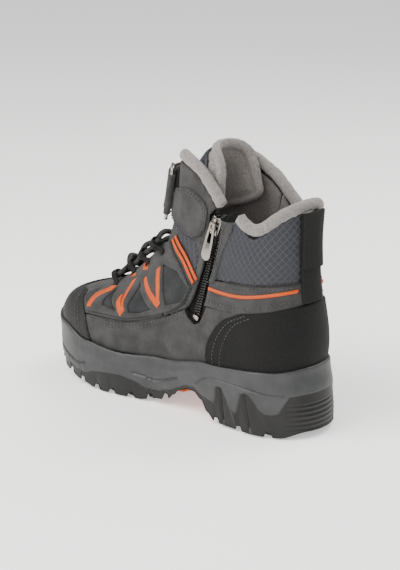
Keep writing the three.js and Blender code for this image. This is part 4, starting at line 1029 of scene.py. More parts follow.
def build_tongue(m):
    """One long padded tongue that wraps the instep: fleece with a beaded edge, ripstop on its front."""
    fine = 1.25
    edge_line = [(11, 69), (12, 87), (14, 109), (17, 124), (26, 134), (44, 143), (52, 151), (50, 162),
                 (42, 174),
                 (31, 182), (18, 186.3), (0, 187.5), (-14, 186), (-27, 181), (-40, 172), (-50, 162),
                 (-56, 152),
                 (-46, 143), (-26, 134), (-17, 124), (-14, 109), (-12, 87), (-11, 69)]
    ring = tongue_flat(flowing(edge_line, 6))
    verts, faces, edge = fill_flat(ring, [], fine)
    bead = 3.1
    half = np.where(edge < 2 * bead, np.sqrt(np.clip(bead ** 2 - (edge - bead) ** 2, 0, None)),
                    1.1 + 2.3 * (1 - np.exp(-((edge - 2 * bead) / 4.5) ** 2)))
    half = np.maximum(half, 0.02)
    along = verts[:, 1] / TONGUE_LONG
    top = tongue_place(verts[:, 0], along, -3.4 + half)
    under = tongue_place(verts[:, 0], along, -3.4 - half)
    obj = thick_sheet("tongue", top, under, faces, verts, True)
    face_outward(obj)
    fuzzed(obj, 3.0, 0.3, 4.0)
    bend = ("boot", "tongue_top", (0.001, -0.004, 0.1385), (0.001, 0.004, 0.150))
    finish_piece(obj, "boot", "fleece", m["fleece"], "tongue_lower", "tongue_upper", blend=bend)
    face_line = [(8, 72), (10, 109), (11, 124), (20, 136), (34, 148), (36, 162), (30, 172), (20, 178),
                 (0, 180),
                 (-20, 178), (-32, 172), (-40, 162), (-38, 148), (-20, 136), (-11, 124), (-10, 109), (-8, 72)]
    verts, faces, edge = fill_flat(tongue_flat(flowing(face_line, 5)), [], fine)
    along = verts[:, 1] / TONGUE_LONG
    out = 0.35 + 0.6 * ease(edge / 2)
    obj = thick_sheet("tongue face", tongue_place(verts[:, 0], along, out),
                      tongue_place(verts[:, 0], along, out - 1.4),
                      faces, verts, True)
    face_outward(obj)
    finish_piece(obj, "boot", "ripstop", m["ripstop"], blend=bend)


# ---- the sole -----------------------------------------------------------------------------------------
GROUND = np.array([(-118, 21), (-100, 13), (-82, 6.5), (-64, 2.5), (-48, 0), (-14, 0), (4, 4.5), (20, 8.5),
                   (40, 5),
                   (55, 0), (106, 0), (118, 6)], float)
SPLIT = np.array([(-118, 26), (-110, 24), (-98, 19.5), (-80, 14.5), (-62, 14), (-42, 14), (-17, 10),
                  (6, 12.5),
                  (22, 16), (33, 20.5), (48, 13), (56, 8.5), (100, 8.5), (122, 12)], float)
LUG = 4.0


def plan(q, out, flare=0.0):
    """Plan of the sole: the feather line grown outwards, with the heel swept back. Form's own millimetres."""
    n = normal(q, 0.02)[:, :2]
    n = n / np.linalg.norm(n, axis=1)[:, None]
    turn = np.abs(q - 2 * np.round(q / 2))
    back = flare * np.maximum(np.cos(turn * math.pi * 1.6), 0) * (turn < 0.32)
    moved_back = np.stack([np.zeros_like(back), back], axis=1)
    return form(q, 0.0)[:, :2] + n * np.asarray(out)[..., None] + moved_back


def side_y(points):
    return points[:, 1] - ORIGIN[1]


def rim_level(q):
    """b at which the form's skin reaches the midsole's rim."""
    y = side_y(form(q, 0.0))
    goal = lip_level(y)
    levels = np.linspace(0, 0.3, 121)
    b = np.zeros(len(q))
    for level in levels:
        b = np.where(form(q, level)[:, 2] < goal, level, b)
    return b


def loft(name, rings, uv=None):
    """Faces between successive rings of points; first and last ring are filled."""
    count = len(rings[0])
    faces = []
    for r in range(len(rings) - 1):
        for i in range(count):
            j = (i + 1) % count
            faces.append((r * count + i, (r + 1) * count + i, (r + 1) * count + j, r * count + j))
    half = count // 2
    for r, turn in ((0, 1), (len(rings) - 1, -1)):
        for i in range(half):
            a, b = r * count + i, r * count + i + 1
            c, d = r * count + (count - i - 1) % count, r * count + (count - i) % count
            face = [v for k, v in enumerate((a, b, c, d)) if v not in (a, b, c, d)[:k]]
            faces.append(tuple(face if turn < 0 else face[::-1]))
    return mesh_piece(name, np.concatenate(rings), faces, uv)


RUBBER = [   # black rubber on the sole's side wall, in side view
    [(-124, 22), (-112, 20), (-100, 17), (-82, 13), (-66, 10.5), (-60, 10.5), (-53, 13.5), (-40, 15.5),
     (-27, 16),
     (-15, 13.5), (-7, 10), (4, 10.5), (16, 14.5), (29, 21), (36, 21.5), (45, 17.5), (57, 15.5), (57, -8),
     (-124, -8)],
    [(56.5, 15.5), (57, 26.7), (59.5, 28.3), (62.5, 27.6), (69, 18.4), (75, 12), (76, -8), (56.5, -8)],
    [(74.9, -8), (74.8, 12.5), (76, 15), (78.8, 27.6), (81.4, 28.8), (85.6, 28.5), (94, 19.2), (97, 17),
     (101, 16.6),
     (105, 18), (107.5, 24), (109.5, 29), (114, 30), (128, 31), (128, -8)],
]
SKIRT = np.array([(-118, 19), (-100, 12.5), (-82, 7), (-64, 3.5), (-48, 1), (-14, 1), (4, 4.5), (12, 7),
                  (17, 11),
                  (22, 15.5), (29, 18.5), (36, 18.5), (43, 14.5), (49, 7), (56, 2), (106, 1.2), (118, 5)],
                  float)
SKIRT_GAPS = (-92, -78, -64, -49, -35, -19.5, -4.5, 9, 57.3, 77, 99)


def rubber_share(y, z):
    """0 on the grey foam, 1 on the black rubber, easing over about a millimetre."""
    here = np.stack([y, z], axis=1)
    share = np.zeros(len(y))
    for outline in RUBBER:
        outline = np.array(outline, float)
        deep = distance_to(here, outline) * np.where(inside_polygon(here, outline), 1, -1)
        share = np.maximum(share, ease((deep + 0.35) / 0.7))
    return share


def wall_relief(y, z, share):
    """How far the sole's side wall stands in or out at a place in side view, in millimetres."""
    here = np.stack([y, z], axis=1)
    relief = -0.7 * share
    for line, depth, width in (
            ([(40, 25), (46, 30), (56, 32.5), (74, 32.5), (88, 31.5), (98, 29.8), (107, 29.5)], -1.1, 0.8),
            ([(60.7, 26.8), (62.5, 15), (64.1, 1)], -1.5, 0.8),
            ([(81.4, 27), (84, 15), (86.7, 1)], -1.5, 0.8),
            ([(69.5, 19), (74, 10), (76, 3)], 0.9, 1.6), ([(93, 20), (98.5, 11), (101, 3)], 0.9, 1.8),
            ([(-17.5, 19.5), (-9, 18.6), (-1.7, 17.4), (6, 18.4), (21, 24)], -1.2, 0.9),
            ([(-108, 28), (-95, 22.5), (-80, 18.5), (-68, 16.5), (-60, 18)], -1.1, 0.8)):
        relief += depth * np.exp(-(distance_to(here, densify(flowing(line, 5), 1.0, False),
                                               False) / width) ** 2)
    scoop = np.array([(-18, 20), (-4, 18.5), (6, 19.5), (22, 25), (12, 27), (-6, 26)], float)
    relief -= 0.8 * inside_polygon(here, scoop) * ease(distance_to(here, scoop) / 3)
    ribs = (y > 107.5) * (z > 6) * (z < 23) * ease((y - 107.5) / 3)
    relief -= 0.55 * ribs * (0.5 + 0.5 * np.cos(z * 2 * math.pi / 3.3))
    return relief


def skirt_level(y):
    """Height of the wall's lower edge, with the gaps between the tread's blocks."""
    z = stepped(SKIRT, y)
    for gap in SKIRT_GAPS:
        z = z + 3.4 * ease((2.1 - np.abs(y - gap)) / 0.8 + 0.5)
    return z


def build_sole(m):
    count = 640
    q = np.linspace(0, 2, count, endpoint=False)
    feather = form(q, 0.0)
    level = rim_level(q)
    clear, lip = 1.3, 1.7
    floor = np.interp(side_y(feather), [-106, 109], [28, 33]) - 1.2
    rings = [np.stack([*plan(q, -1.0).T, floor], axis=1)]
    inner = lay(q, 0.0, clear)
    inner[:, 2] = floor + 0.4
    rings.append(inner)
    for share in (0.35, 0.75, 1.0):
        rings.append(lay(q, level * share, clear))
    for t, drop in ((clear + 0.25, -0.15), (clear + 0.8, -0.05), (clear + lip - 0.25, 0.45),
                    (clear + lip, 1.3)):
        ring = lay(q, level, t)
        ring[:, 2] -= drop
        rings.append(ring)
    shares = [np.zeros(count)] * len(rings)
    lip_edge = rings[-1]
    outward = normal(q, 0.02)[:, :2]
    outward = outward / np.linalg.norm(outward, axis=1)[:, None]
    steps = 72
    for k in range(1, steps + 1):
        s = k / steps
        flare = 2.0 + 5.0 * ease(s)
        xy = plan(q, 5.2 - 0.9 * max(2 * s - 1, 0) ** 2, flare)
        y = xy[:, 1] - ORIGIN[1]
        z = lip_edge[:, 2] + (skirt_level(y) - lip_edge[:, 2]) * s
        mix = float(ease(min(s / 0.3, 1.0)))
        share = rubber_share(y, z)
        relief = wall_relief(y, z, share) * mix
        xy = lip_edge[:, :2] * (1 - mix) + xy * mix + outward * relief[:, None]
        rings.append(np.stack([xy[:, 0], xy[:, 1], z], axis=1))
        shares.append(share * mix)
    edge = rings[-1]
    for out, lift in ((4.0, -0.35), (3.3, 0.0)):
        under = plan(q, out, 7.0)
        rings.append(np.stack([under[:, 0], under[:, 1], edge[:, 2] + lift], axis=1))
        shares.append(np.ones(count))
    under = plan(q, 3.1, 6.8)
    rings.append(np.stack([under[:, 0], under[:, 1],
                           np.maximum(stepped(SPLIT, under[:, 1] - ORIGIN[1]) - 1.5, edge[:, 2] + 0.4)],
                           axis=1))
    shares.append(np.ones(count))
    obj = loft("midsole", rings)
    face_outward(obj)
    layer = obj.data.attributes.new("rubber", "FLOAT", "POINT")
    layer.data.foreach_set("value", np.concatenate(shares))
    finish_piece(obj, "boot", "midsole_rubber", m["midsole"], "midsole")

    build_outsole(m, "outsole forefoot", (0.572, 1.0), "outsole_forefoot", FOREFOOT_ROWS)
    build_outsole(m, "outsole heel", (0.0, 0.345), "outsole_heel", HEEL_ROWS)

    count = 60
    s = np.linspace(0.333, 0.566, count)
    inner, outer = plan(s, 0.9), plan(-s, 0.9)
    rows, columns = [], 28
    for v in np.linspace(0, 1, columns):
        p = outer * (1 - v) + inner * v
        y = p[:, 1] - ORIGIN[1]
        rib = 0.35 * np.cos(v * math.pi * 10)
        rows.append(np.stack([p[:, 0], p[:, 1], stepped(SPLIT, y) - 3.2 + rib], axis=1))
    lower, upper = np.concatenate(rows), np.concatenate([np.stack([t[:, 0], t[:, 1],
                                                                   stepped(SPLIT, t[:, 1] - ORIGIN[1]) - 0.9],
                                                                   1) for t in rows])
    faces = []
    for i in range(columns - 1):
        for j in range(count - 1):
            a, b, c, d = i * count + j, (i + 1) * count + j, (i + 1) * count + j + 1, i * count + j + 1
            faces += [(a, b, c), (a, c, d)]
    uv = lower[:, :2]
    obj = thick_sheet("arch shank", upper, lower, faces, uv, False)
    finish_piece(obj, "boot", "shank_plastic", m["orange"], "arch_shank")

    for name, out, low, high, node_name, material in (("insole board", -5.5, 0.5, 2.0, "insole_board",
                                                       m["board"]),
                                                      ("insole", -8.5, 2.4, 6.8, "insole", m["fleece_dark"])):
        s = np.linspace(0.03, 0.97, 50)
        ring = np.concatenate([plan(s, out), plan(-s, out)[::-1]])
        floor = np.interp(ring[:, 1] - ORIGIN[1], [-106, 109], [28, 33]) - 1.2
        layers = []
        for z, inset in ((low, 0.0), (high - 0.6, 0.0), (high, 0.7)):
            middle = ring.mean(axis=0)
            layers.append(np.stack([*(middle + (ring - middle) * (1 - inset / 45)).T, floor + z], axis=1))
        obj = loft_plain(name, layers)
        finish_piece(obj, "boot", "fibreboard" if name == "insole board" else "fleece", material, node_name)


def loft_plain(name, rings):
    """Rings whose two halves face each other, filled top and bottom in strips."""
    count = len(rings[0])
    faces = []
    for r in range(len(rings) - 1):
        for i in range(count):
            j = (i + 1) % count
            faces.append((r * count + i, r * count + j, (r + 1) * count + j, (r + 1) * count + i))
    half = count // 2
    top = (len(rings) - 1) * count
    for i in range(half - 1):
        a, b, c, d = i, i + 1, count - 2 - i, count - 1 - i
        faces.append((d, c, b, a))
        faces.append((top + a, top + b, top + c, top + d))
    obj = mesh_piece(name, np.concatenate(rings), faces)
    face_outward(obj)
    return obj


def face_outward(obj):
    work = bmesh.new()
    work.from_mesh(obj.data)
    bmesh.ops.recalc_face_normals(work, faces=work.faces)
    work.to_mesh(obj.data)
    work.free()


FOREFOOT_ROWS = [(-102, 13, 7, 3), (-89, 26, 8, 4), (-73, 33, 9, 4), (-57, 37, 9, 4), (-41, 37, 9, 4),
                 (-25, 35, 9, 4), (-9, 31, 8, 4)]
HEEL_ROWS = [(64, 29, 9, 3), (79, 29, 9, 3), (94, 27, 9, 2)]


def lug(x0, x1, y, sweep, depth):
    """A chevron bar with bevelled edges standing on the tread, as points and faces in millimetres."""
    rows = []
    for inset, height in ((-0.9, LUG + 0.8), (0.0, 0.9), (0.9, 0.0)):
        ring = []
        for u, v in ((0, 0), (0.5, 0), (1, 0), (1, 1), (0.5, 1), (0, 1)):
            x = x0 + (x1 - x0) * u + (inset if u == 0 else -inset if u == 1 else 0) * np.sign(x1 - x0)
            py = y + (v - 0.5) * (depth - 2 * inset) + u * sweep
            ring.append((x, py, float(stepped(GROUND, np.array([py]))[0]) + height))
        rows.append(ring)
    points = np.array([p for ring in rows for p in ring]) + ORIGIN
    faces = [(12, 13, 14, 15, 16, 17), (5, 4, 3, 2, 1, 0)]
    for r in range(2):
        for i in range(6):
            j = (i + 1) % 6
            faces.append((r * 6 + i, r * 6 + j, (r + 1) * 6 + j, (r + 1) * 6 + i))
    return points, faces


def build_outsole(m, name, span, node_name, rows):
    """Rubber slab between two stations, with its side rand and a chevron tread."""
    stations = 150
    s = np.linspace(span[0], span[1] if span[1] < 1 else 0.985, stations)
    s[0] = max(s[0], 0.012)
    flare = 7.0 if span[0] < 0.1 else 0.0
    columns = 26
    inner, outer = plan(s, 3.2, flare), plan(-s, 3.2, flare)
    top, low = [], []
    for v in np.linspace(0, 1, columns):
        p = outer * (1 - v) + inner * v
        y = p[:, 1] - ORIGIN[1]
        edge = min(v, 1 - v) * 2 * 38
        roll = 1.1 * (1 - ease(min(edge / 2.2, 1.0)))
        top.append(np.stack([p[:, 0], p[:, 1], stepped(SPLIT, y) - 0.9], axis=1))
        low.append(np.stack([p[:, 0], p[:, 1], stepped(GROUND, y) + LUG + roll], axis=1))
    lower, upper = np.concatenate(low), np.concatenate(top)
    faces = []
    for i in range(columns - 1):
        for j in range(stations - 1):
            a, b = i * stations + j, (i + 1) * stations + j
            faces += [(a, b, b + 1), (a, b + 1, a + 1)]
    obj = thick_sheet(name, upper, lower, faces, lower[:, :2], False)
    face_outward(obj)
    parts = []
    for y, half, depth, sweep in rows:
        parts += [lug(3, half, y, sweep, depth), lug(-3, -half, y, sweep, depth)]
    tread = joined(name + " tread", parts)
    face_outward(tread)
    deselect()
    tread.select_set(True)
    obj.select_set(True)
    bpy.context.view_layer.objects.active = obj
    bpy.ops.object.join()
    smooth_by_angle(obj, 40)
    finish_piece(obj, "boot", "outsole_rubber", m["outsole"], node_name)


# ---- zip, puller, strap, ring, laces, webbing -----------------------------------------------------------
def basis_at(origin, run, out):
    """Matrix columns x, y, z and a place: y follows run, z points out; millimetres."""
    z = out / np.linalg.norm(out)
    y = run - z * (run @ z)
    y = y / np.linalg.norm(y)
    return np.stack([np.cross(y, z), y, z]), np.asarray(origin, float)


def placed(points, frame_at):
    rows, origin = frame_at
    return np.asarray(points, float) @ rows + origin


def zip_frame():
    low = lay(*domain([ZIP_LOW]).T, 0.0)[0]
    high = lay(*domain([ZIP_HIGH]).T, 0.0)[0]
    out = normal(*domain([(ZIP_LOW + ZIP_HIGH) / 2]).T)[0]
    return basis_at(low, high - low, out), float(np.linalg.norm(high - low))


def boxed(x0, x1, y0, y1, z0, z1, bevel=0.25):
    """A box with its edges eased, as points and faces."""
    work = bmesh.new()
    made = bmesh.ops.create_cube(work, size=1.0)
    for v in made["verts"]:
        v.co = Vector(((x0 + x1) / 2 + v.co.x * (x1 - x0), (y0 + y1) / 2 + v.co.y * (y1 - y0),
                       (z0 + z1) / 2 + v.co.z * (z1 - z0)))
    if bevel:
        bmesh.ops.bevel(work, geom=list(work.edges), offset=bevel, segments=2, affect="EDGES", profile=0.5)
    work.verts.index_update()
    points = [tuple(v.co) for v in work.verts]
    faces = [tuple(v.index for v in f.verts) for f in work.faces]
    work.free()
    return points, faces


def in_order(points, faces):
    """The same mesh with its points and faces sorted, because extrude and bevel hand them back in any order."""
    order = sorted(range(len(points)), key=lambda i: points[i])
    place = {old: new for new, old in enumerate(order)}
    return [points[i] for i in order], sorted(tuple(place[i] for i in face) for face in faces)


def outlined(outline, z0, z1, holes=(), bevel=0.2):
    """A flat plate cut to an outline, its edges eased, as points and faces."""
    ring = np.asarray(outline, float)
    points = [(x, y) for x, y in ring]
    edges = [(i, (i + 1) % len(ring)) for i in range(len(ring))]
    for hole in holes:
        start = len(points)
        points += [(x, y) for x, y in hole]
        edges += [(start + i, start + (i + 1) % len(hole)) for i in range(len(hole))]
    verts, _, faces, *_ = geometry.delaunay_2d_cdt([Vector(p) for p in points], edges, [], 0, 1e-6)
    flat = np.array([tuple(v) for v in verts])
    keep = []
    for f in faces:
        middle = flat[list(f)].mean(axis=0)[None]
        in_hole = any(inside_polygon(middle, np.asarray(h, float))[0] for h in holes)
        if inside_polygon(middle, ring)[0] and not in_hole:
            keep.append(tuple(f))
    work = bmesh.new()
    made = [work.verts.new((x, y, z0)) for x, y in flat]
    for f in keep:
        work.faces.new([made[i] for i in f])
    bmesh.ops.recalc_face_normals(work, faces=work.faces)
    up = bmesh.ops.extrude_face_region(work, geom=list(work.faces))
    moved_verts = [g for g in up["geom"] if isinstance(g, bmesh.types.BMVert)]
    bmesh.ops.translate(work, verts=moved_verts, vec=(0, 0, z1 - z0))
    bmesh.ops.recalc_face_normals(work, faces=work.faces)
    if bevel:
        sharp = [e for e in work.edges if len(e.link_faces) == 2 and e.calc_face_angle(0) > 0.9]
        bmesh.ops.bevel(work, geom=sharp, offset=bevel, segments=2, affect="EDGES", profile=0.5)
    work.verts.index_update()
    points = [tuple(v.co) for v in work.verts]
    faces = [tuple(v.index for v in f.verts) for f in work.faces]
    work.free()
    return in_order(points, faces)


def arc(cx, cy, radius, start, end, count):
    angle = np.linspace(start, end, count)
    return [(cx + radius * math.cos(a), cy + radius * math.sin(a)) for a in angle]


def build_zip(m):
    at, length = zip_frame()
    teeth_half, half = 2.6, 6.5
    slider_y = 0.86 * length
    for name, side in (("front", -1), ("rear", 1)):
        reach = half + (3.4 if side < 0 else 1.2)
        rows = np.linspace(-2, length + 1.5, 60)
        splay = 5.5 * ease((rows - slider_y - 3) / (length - slider_y))
        columns = np.linspace(teeth_half + 0.2, reach, 8)
        y, x = np.meshgrid(rows, columns, indexing="ij")
        weave = 0.05 * np.sin(y * 5)
        widen = splay[:, None] * (1 - 0.75 * (x - columns[0]) / (columns[-1] - columns[0]))
        top = np.stack([side * (x + widen), y, -4.75 + weave + 0.25 * widen * 0.3], axis=2).reshape(-1, 3)
        faces = []
        for i in range(len(rows) - 1):
            for j in range(len(columns) - 1):
                a, b = i * 8 + j, (i + 1) * 8 + j
                faces += [(a, b, b + 1), (a, b + 1, a + 1)]
        obj = thick_sheet(f"zip tape {name}", placed(top, at), placed(top - (0, 0, 0.6), at), faces,
                          top[:, :2], True)
        face_outward(obj)
        finish_piece(obj, "boot", "black_webbing", m["webbing"], f"zip_tape_{name}")
        parts = []
        pitch = 1.9
        for y0 in np.arange(0.8 + (0 if side > 0 else pitch / 2), length - 1.5, pitch):
            lift = 5.5 * float(ease(np.array((y0 - slider_y - 3) / (length - slider_y))))
            points, tooth = boxed(0.05 if y0 < slider_y else 0.3, teeth_half, y0, y0 + pitch * 0.56, -5.2,
                                  -3.1, 0.22)
            points = np.array(points) * (side, 1, 1) + (side * lift, 0, 0)
            parts.append((placed(points, at), tooth if side > 0 else [f[::-1] for f in tooth]))
        obj = joined(f"zip teeth {name}", parts)
        face_outward(obj)
        finish_piece(obj, "boot", "zip_nylon", m["nylon"], f"zip_teeth_{name}")
    points, faces = boxed(-2.7, 2.7, -3.6, -0.5, -5.2, -2.4, 0.5)
    obj = joined("zip stop", [(placed(points, at), faces)])
    finish_piece(obj, "boot", "gunmetal", m["gunmetal"], "zip_stop")
    body = [(-3.2, -6.5), (3.2, -6.5), (4.0, -4.5), (4.7, 1.5), (4.6, 5.2), (2.6, 6.5), (0, 5.6), (-2.6, 6.5),
            (-4.6, 5.2),
            (-4.7, 1.5), (-4.0, -4.5)]
    plate = outlined([(x, y + slider_y) for x, y in body], -2.7, -1.5, bevel=0.35)
    bridge = np.array([(0, slider_y - 4.6, -1.6), (0, slider_y - 4.2, -0.9), (0, slider_y - 2.5, -0.35),
                       (0, slider_y, -0.15), (0, slider_y + 2.5, -0.35), (0, slider_y + 4.2, -0.9),
                       (0, slider_y + 4.6, -1.6)])
    parts = [(placed(plate[0], at), plate[1])]
    obj = joined("zip slider", parts)
    bail = tube("zip bail", placed(flowing(bridge, 5), at), 1.05, 14)
    face_outward(obj)
    deselect()
    bail.select_set(True)
    obj.select_set(True)
    bpy.context.view_layer.objects.active = obj
    bpy.ops.object.join()
    smooth_by_angle(obj, 40)
    finish_piece(obj, "zip_slider", "gunmetal", m["gunmetal"], "zip_slider")
    top_y, total, width = slider_y + 2.5, 27.0, 7.0
    low_r = width / 2 + 0.6
    outline = [(-2.0, 0.6), (2.0, 0.6), (2.5, 0), (2.9, -6), (3.6, -12), (4.1, -total + low_r),
               *arc(0, -total + low_r, low_r, 0, -math.pi, 17)[1:-1], (-4.1, -total + low_r), (-3.6, -12),
               (-2.9, -6),
               (-2.5, 0)]
    eye = arc(0, -2.4, 1.35, 0, 2 * math.pi, 13)[:-1]
    slot = [*arc(0, -12.8, 1.7, math.pi, 2 * math.pi, 9), *arc(0, -6.6, 1.2, 0, math.pi, 9)]
    points, faces = outlined([(x, y + top_y) for x, y in outline], 0.1, 1.4,
                             [[(x, y + top_y) for x, y in eye], [(x, y + top_y) for x, y in slot]], 0.28)
    obj = joined("zip puller", [(placed(points, at), faces)])
    smooth_by_angle(obj, 40)
    finish_piece(obj, "zip_puller", "gunmetal", m["gunmetal"], "zip_puller")


STRAP_B, RING_Q = 0.86, 0.845


def strap_levels():
    half = 29 / 2 / np.linalg.norm(form(1, 1) - form(1, 0.5)) * 0.5
    return STRAP_B - half, STRAP_B + half


def strap_band(name, q0, q1, out, thick, rounded=0.0, spacing=1.5):
    """A strip of the form at strap height; one end may be rounded."""
    low, high = strap_levels()
    outline = [(q0, low), (q1 - rounded, low), (q1, low + (high - low) * 0.16),
               (q1, high - (high - low) * 0.16),
               (q1 - rounded, high), (q0, high)]
    return panel(name, outline, out, thick, spacing, edge_drop=0.5, edge_width=1.2)


def build_strap(m):
    low, high = strap_levels()
    ring_at = lay(RING_Q, STRAP_B, 1.7 + 1.2 + 0.8)[0]
    run = (form(RING_Q, high) - form(RING_Q, low))[0]
    at = basis_at(ring_at, run, normal(RING_Q, STRAP_B)[0])
    w, h, r = 6.5 - 1.2, 20 - 1.2, 3.2
    path = [*arc(w - r, h - r, r, 0, math.pi / 2, 9), *arc(-w + r, h - r, r, math.pi / 2, math.pi, 9),
            *arc(-w + r, -h + r, r, math.pi, 1.5 * math.pi, 9), *arc(w - r, -h + r, r, -math.pi / 2, 0, 9)]
    path = densify(np.array([(x, y, 0.0) for x, y in path]), 1.2)
    obj = tube("strap ring", placed(path, at), 1.2, 16, closed=True)
    finish_piece(obj, "strap_ring", "steel_ring", m["gunmetal"], "strap_ring")
    for name, x, body, seat in (("ring keeper", -w, "boot", "nubuck"),
                                ("strap turn", w, "strap_ring", "nubuck")):
        line = np.stack([np.full(40, x), np.linspace(-14, 14, 40), np.zeros(40)], axis=1)
        sleeve = tube(name, placed(line, at), 2.5, 20, squash=0.9)
        finish_piece(sleeve, body, seat, m["nubuck"])
    half_ring = 6.5 * 0.05 / np.linalg.norm(form(RING_Q, STRAP_B) - form(RING_Q + 0.05, STRAP_B))
    start = RING_Q + half_ring * 1.35
    base = strap_band("strap base", start, 1.5, 3.3, 1.6, 0.02)
    finish_piece(base, "boot", "nubuck", m["nubuck"], "strap_base")
    flap = strap_band("strap flap", start, 1.24, 6.8, 1.6, 0.015)
    finish_piece(flap, "strap_flap", "nubuck", m["nubuck"], "strap_flap")
    pad = strap_band("hook pad", 1.03, 1.22, 4.7, 0.9, 0.0, 1.6)
    finish_piece(pad, "strap_flap", "black_webbing", m["webbing"], "strap_hook_pad")
    bend = []
    for b in np.linspace(low + 0.004, high - 0.004, 24):
        arch = []
        centre = lay(start, b, 5.05)[0]
        toward = (form(start + 0.01, b) - form(start - 0.01, b))[0]
        toward = toward / np.linalg.norm(toward)
        out = normal(start, b)[0]
        for a in np.linspace(-math.pi / 2, math.pi / 2, 13):
            arch.append(centre - toward * (6.3 * math.cos(a)) + out * (1.75 * math.sin(a)))
        bend.append(arch)
    outer = np.array(bend)
    inner = []
    for b in np.linspace(low + 0.004, high - 0.004, 24):
        centre = lay(start, b, 5.05)[0]
        toward = (form(start + 0.01, b) - form(start - 0.01, b))[0]
        toward = toward / np.linalg.norm(toward)
        out = normal(start, b)[0]
        inner.append([centre - toward * (5.0 * math.cos(a)) + out * (0.6 * math.sin(a))
                      for a in np.linspace(-math.pi / 2, math.pi / 2, 13)])
    outer, inner = outer.reshape(-1, 3), np.array(inner).reshape(-1, 3)
    faces = []
    for i in range(23):
        for j in range(12):
            a, b = i * 13 + j, (i + 1) * 13 + j
            faces += [(a, b, b + 1), (a, b + 1, a + 1)]
    obj = thick_sheet("strap fold", outer, inner, faces, outer[:, :2], True)
    face_outward(obj)
    finish_piece(obj, "boot", "nubuck", m["nubuck"])
    edges = [[(start + 0.01, low + 0.01), (1.2, low + 0.01)],
             [(start + 0.01, high - 0.01), (1.2, high - 0.01)],
             [(1.225, low + 0.02), (1.225, high - 0.02)]]
    sewn = []
    for line in edges:
        line = np.array(line)
        sewn.append(np.stack([np.linspace(line[0, 0], line[1, 0], 30),
                              np.linspace(line[0, 1], line[1, 1], 30)], axis=1))
    for q_at in (start + 0.035, start + 0.05):
        for b0, b1 in ((low + 0.015, low + 0.05), (high - 0.05, high - 0.015)):
            sewn.append(np.stack([np.full(8, q_at), np.linspace(b0, b1, 8)], axis=1))
    obj = stitches("strap stitching", sewn, 6.75, pitch=2.6)
    finish_piece(obj, "strap_flap", "nubuck", m["thread"])


def lace_height():
    return OVER + 0.5 + 2 + 1.7


def lace_route():
    def at(k, side):
        return lay(*domain([LOOP_SPOTS[k]], side).T, lace_height())[0]

    def turn(k, side, up):
        p = at(k, side)
        ahead = LOOP_SPOTS[min(k + 1, 3)]
        slope = np.array([0, *(ahead - LOOP_SPOTS[k])], float)
        slope = np.array([0, 0.62, 0.78]) if k == 3 else slope / np.linalg.norm(slope)
        a, b = p - slope * 4.6, p + slope * 4.6
        over = p + (side * 0.8, 0, 0)
        return [a, over, b] if up else [b, over, a]

    def middle(k, lift):
        p = (at(k, 1) + at(k + 1, 1)) / 2
        return np.array([ORIGIN[0], p[1] - 3 - lift * 0.8, p[2] + 2.5 + lift * 0.7])

    points = []
    for k in (3, 2, 1, 0):
        points += turn(k, -1 if k % 2 else 1, False)
        if k:
            points.append(middle(k - 1, 0))
    start = at(0, 1)
    points.append(np.array([ORIGIN[0], start[1] - 4.4, start[2] - 0.4]))
    for k in range(4):
        points += turn(k, 1 if k % 2 else -1, True)
        if k < 3:
            points.append(middle(k, 5.4))
    return np.array(points)


def centripetal(points, per_span=9):
    """Smooth path through uneven points, without overshoot."""
    points = np.concatenate([[2 * points[0] - points[1]], points, [2 * points[-1] - points[-2]]])
    out = []
    for p0, p1, p2, p3 in zip(points, points[1:], points[2:], points[3:]):
        t = np.cumsum([0, *(np.linalg.norm(b - a) ** 0.5 + 1e-6 for a, b in ((p0, p1), (p1, p2), (p2, p3)))])
        for x in np.linspace(t[1], t[2], per_span, endpoint=False):
            a1 = (t[1] - x) / (t[1] - t[0]) * p0 + (x - t[0]) / (t[1] - t[0]) * p1
            a2 = (t[2] - x) / (t[2] - t[1]) * p1 + (x - t[1]) / (t[2] - t[1]) * p2
            a3 = (t[3] - x) / (t[3] - t[2]) * p2 + (x - t[2]) / (t[3] - t[2]) * p3
            b1 = (t[2] - x) / (t[2] - t[0]) * a1 + (x - t[0]) / (t[2] - t[0]) * a2
            b2 = (t[3] - x) / (t[3] - t[1]) * a2 + (x - t[1]) / (t[3] - t[1]) * a3
            out.append((t[2] - x) / (t[2] - t[1]) * b1 + (x - t[1]) / (t[2] - t[1]) * b2)
    out.append(points[-2])
    return np.array(out)


